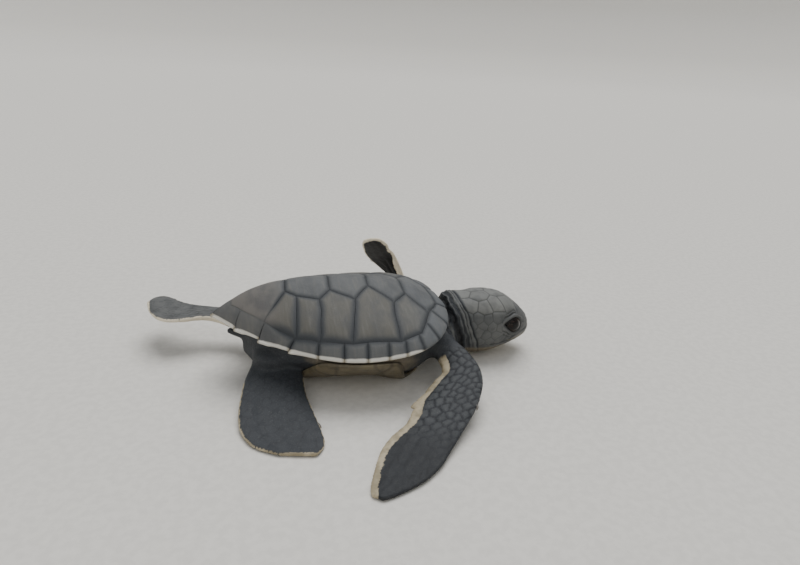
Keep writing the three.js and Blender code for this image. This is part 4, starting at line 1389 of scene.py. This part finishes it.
def place_camera(view):
    """A camera aimed by azimuth, elevation and roll at a point on the turtle's middle plane."""
    azimuth, elevation, roll = view.azimuth, view.elevation, view.roll
    right = Vector((math.cos(azimuth), -math.sin(azimuth), 0))
    ahead = Vector((
        math.sin(azimuth) * math.cos(elevation),
        math.cos(azimuth) * math.cos(elevation),
        -math.sin(elevation),
    ))
    up = right.cross(ahead)
    side = right * math.cos(roll) + up * math.sin(roll)
    top = up * math.cos(roll) - right * math.sin(roll)
    camera = bpy.data.cameras.new("camera")
    camera.lens = view.lens
    camera.sensor_width = 36
    camera.clip_start = 5 * MM
    obj = linked("camera", camera)
    turn = Matrix((side, top, -ahead)).transposed().to_4x4()
    obj.matrix_world = Matrix.Translation(Vector(view.aim) - ahead * view.distance) @ turn
    bpy.context.scene.camera = obj


def build_stage(view, colours):
    build_floor(colours)
    far_light("light_above", (0.2, 0.45, 1.0), 45, view.key_strength)
    far_light("light_front", (-0.3, -1.0, 0.9), 60, view.key_strength * 0.12)
    world = bpy.data.worlds.new("studio")
    world.use_nodes = True
    background = world.node_tree.nodes["Background"]
    background.inputs["Color"].default_value = (*colours.sky, 1)
    background.inputs["Strength"].default_value = view.sky_strength
    bpy.context.scene.world = world
    place_camera(view)


# ---- settings -----------------------------------------------------------------------------------------


def length_property(name, description, mm):
    return bpy.props.FloatProperty(
        name=name, description=description, default=mm * MM, unit="LENGTH", precision=5
    )


def angle_property(name, description, degrees):
    return bpy.props.FloatProperty(
        name=name, description=description, default=math.radians(degrees), subtype="ANGLE"
    )


def strength_property(name, description, value):
    return bpy.props.FloatProperty(name=name, description=description, default=value)


def colour_property(name, description, code):
    return bpy.props.FloatVectorProperty(
        name=name, description=description, default=linear(code), size=3, min=0, max=1, subtype="COLOR"
    )


class TurtleSizes(bpy.types.PropertyGroup):
    scute_gap: length_property("Scute gap", "Open line between neighbouring scutes", 0.05)
    seam_depth: length_property("Seam depth", "How far a scute's edge rolls down", 0.17)
    seam_width: length_property("Seam width", "How far from the seam the roll starts", 1.0)
    crown: length_property("Crown", "How far the middle of a scute stands up", 0.1)
    voxel: length_property("Hide grain", "Size of the hide's faces", 0.28)
    fold_depth: length_property("Fold depth", "Depth of the neck's folds", 0.45)
    plate_groove: length_property("Plate groove", "Depth of the seams between the head's plates", 0.06)
    scale_groove: length_property("Scale groove", "Depth of the seams between the flippers' scales", 0.13)


class TurtleColours(bpy.types.PropertyGroup):
    horn_cool: colour_property("Horn, cool", "Middle row of the shell", 0x575B5F)
    horn_warm: colour_property("Horn, warm", "Rubbed middle of the side scutes", 0x55534C)
    horn_light: colour_property("Horn, light", "Growth fibres and grit", 0x666560)
    # Painted light on the horn at the tail.
    horn_worn: colour_property("Horn, worn", "Rubbed horn at the tail", 0x6D6965)
    horn_dull: colour_property("Horn, dull", "Clouds on the scutes", 0x3C3F43)
    seam: colour_property("Seam", "Dark band along the seams", 0x34383C)
    seam_core: colour_property("Seam core", "Line in the middle of a seam", 0x25292D)
    rim: colour_property("Rim", "White edge of the shell", 0xD6D3CA)
    rim_gap: colour_property("Rim gap", "Where seams break the white edge", 0xA09887)
    # The plastron's colours are darkened as painted shade under the body.
    belly: colour_property("Belly", "Plastron", 0x706752)
    belly_olive: colour_property("Belly, olive", "Shaded clouds on the plastron", 0x564E3D)
    belly_seam: colour_property("Belly seam", "Seams of the plastron", 0x3A3427)
    hide: colour_property("Hide", "Flippers and neck", 0x383B3F)
    hide_dark: colour_property("Hide, dark", "Darker clouds on the hide", 0x212429)
    hide_light: colour_property("Hide, light", "Crown and cheeks", 0x7C7D7A)
    hide_seam: colour_property("Hide seam", "Lines between scales", 0x1A1B1E)
    fold: colour_property("Fold", "Depths of the folds and undersides", 0x090808)
    # Near-black painted shade in the folds and under the flippers.
    throat: colour_property("Throat", "Pale skin of throat and flanks", 0x756D5E)
    border: colour_property("Border", "Cream edge of the flippers", 0xB8AC92)
    border_shade: colour_property("Border, shade", "Stains on the cream edge", 0x958A72)
    # Painted sunlight on the cream edge of the far flippers.
    border_light: colour_property("Border, light", "Bleached cream edge", 0xF8EDD6)
    beak: colour_property("Beak", "Horn of the jaws", 0x2F3132)
    beak_edge: colour_property("Beak edge", "Pale cutting edge", 0x857F70)
    eye: colour_property("Eye", "Pupil and outer eye", 0x060505)
    iris: colour_property("Iris", "Iris", 0x2A1D14)
    claw: colour_property("Claw", "Claw horn", 0x4A453D)
    floor: colour_property("Floor", "Floor and backdrop", 0xE4E1DA)
    floor_shade: colour_property("Floor, shade", "Fine mottle of the floor", 0xDDDAD3)
    sky: colour_property("Sky", "Light from all round", 0xEEF1F6)


class TurtleView(bpy.types.PropertyGroup):
    azimuth: angle_property("Azimuth", "Turn of the camera", 16.617)
    elevation: angle_property("Elevation", "Camera's height angle", 21.588)
    roll: angle_property("Roll", "Camera's tilt", 3.113)
    aim: bpy.props.FloatVectorProperty(
        name="Aim", description="Point that the camera looks at", default=(0.01496, 0, 0.01767), unit="LENGTH"
    )
    distance: length_property("Distance", "From the camera to its aim", 130.35)
    lens: bpy.props.FloatProperty(name="Lens", description="Focal length in mm", default=27.05, unit="CAMERA")
    key_strength: strength_property("Main light", "Strength of the main light", 2.2)
    sky_strength: strength_property("Sky strength", "Light from all round", 0.5)


# ---- operators ----------------------------------------------------------------------------------------


class TURTLE_OT_carapace(bpy.types.Operator):
    """Add the horn scutes of the shell"""

    bl_idname = "turtle.carapace"
    bl_label = "Carapace"

    def execute(self, context):
        build_carapace(context.scene.turtle_sizes, horn_material(context.scene.turtle_colours))
        return {"FINISHED"}


class TURTLE_OT_plastron(bpy.types.Operator):
    """Add the belly plate with its bridges"""

    bl_idname = "turtle.plastron"
    bl_label = "Plastron"

    def execute(self, context):
        build_plastron(plastron_material(context.scene.turtle_colours))
        return {"FINISHED"}


class TURTLE_OT_hide(bpy.types.Operator):
    """Add the scaly hide of head, neck, body, tail and flippers"""

    bl_idname = "turtle.hide"
    bl_label = "Hide"

    def execute(self, context):
        build_hide(context.scene.turtle_sizes, hide_material(context.scene.turtle_colours))
        return {"FINISHED"}


class TURTLE_OT_eyes(bpy.types.Operator):
    """Add the eyes"""

    bl_idname = "turtle.eyes"
    bl_label = "Eyes"

    def execute(self, context):
        build_eyes(eye_material(context.scene.turtle_colours))
        return {"FINISHED"}


class TURTLE_OT_beak(bpy.types.Operator):
    """Add the horn sheaths of the jaws"""

    bl_idname = "turtle.beak"
    bl_label = "Beak"

    def execute(self, context):
        build_beak(beak_material(context.scene.turtle_colours))
        return {"FINISHED"}


class TURTLE_OT_claws(bpy.types.Operator):
    """Add a claw to each flipper"""

    bl_idname = "turtle.claws"
    bl_label = "Claws"

    def execute(self, context):
        build_claws(claw_material(context.scene.turtle_colours))
        return {"FINISHED"}


class TURTLE_OT_stage(bpy.types.Operator):
    """Add the floor, the lights and the camera"""

    bl_idname = "turtle.stage"
    bl_label = "Stage"

    def execute(self, context):
        build_stage(context.scene.turtle_view, context.scene.turtle_colours)
        return {"FINISHED"}


PIECES = (
    TURTLE_OT_carapace, TURTLE_OT_plastron, TURTLE_OT_hide, TURTLE_OT_eyes, TURTLE_OT_beak, TURTLE_OT_claws,
    TURTLE_OT_stage,
)


class TURTLE_PT_panel(bpy.types.Panel):
    """Buttons for the turtle's pieces"""

    bl_label = "Sea turtle hatchling"
    bl_idname = "TURTLE_PT_panel"
    bl_space_type = "VIEW_3D"
    bl_region_type = "UI"
    bl_category = "Turtle"

    def draw(self, context):
        for piece in PIECES:
            self.layout.operator(piece.bl_idname)
        for group in (context.scene.turtle_sizes, context.scene.turtle_colours, context.scene.turtle_view):
            for name in group.__annotations__:
                self.layout.prop(group, name)


GROUPS = {"turtle_sizes": TurtleSizes, "turtle_colours": TurtleColours, "turtle_view": TurtleView}


def register():
    for cls in (*GROUPS.values(), *PIECES, TURTLE_PT_panel):
        bpy.utils.register_class(cls)
    for name, group in GROUPS.items():
        setattr(bpy.types.Scene, name, bpy.props.PointerProperty(type=group))


def unregister():
    for name in GROUPS:
        delattr(bpy.types.Scene, name)
    for cls in (TURTLE_PT_panel, *reversed(PIECES), *GROUPS.values()):
        bpy.utils.unregister_class(cls)


def main():
    register()
    bpy.ops.turtle.stage()
    bpy.ops.turtle.carapace()
    bpy.ops.turtle.plastron()
    bpy.ops.turtle.hide()
    bpy.ops.turtle.eyes()
    bpy.ops.turtle.beak()
    bpy.ops.turtle.claws()


if __name__ == "__main__":
    main()
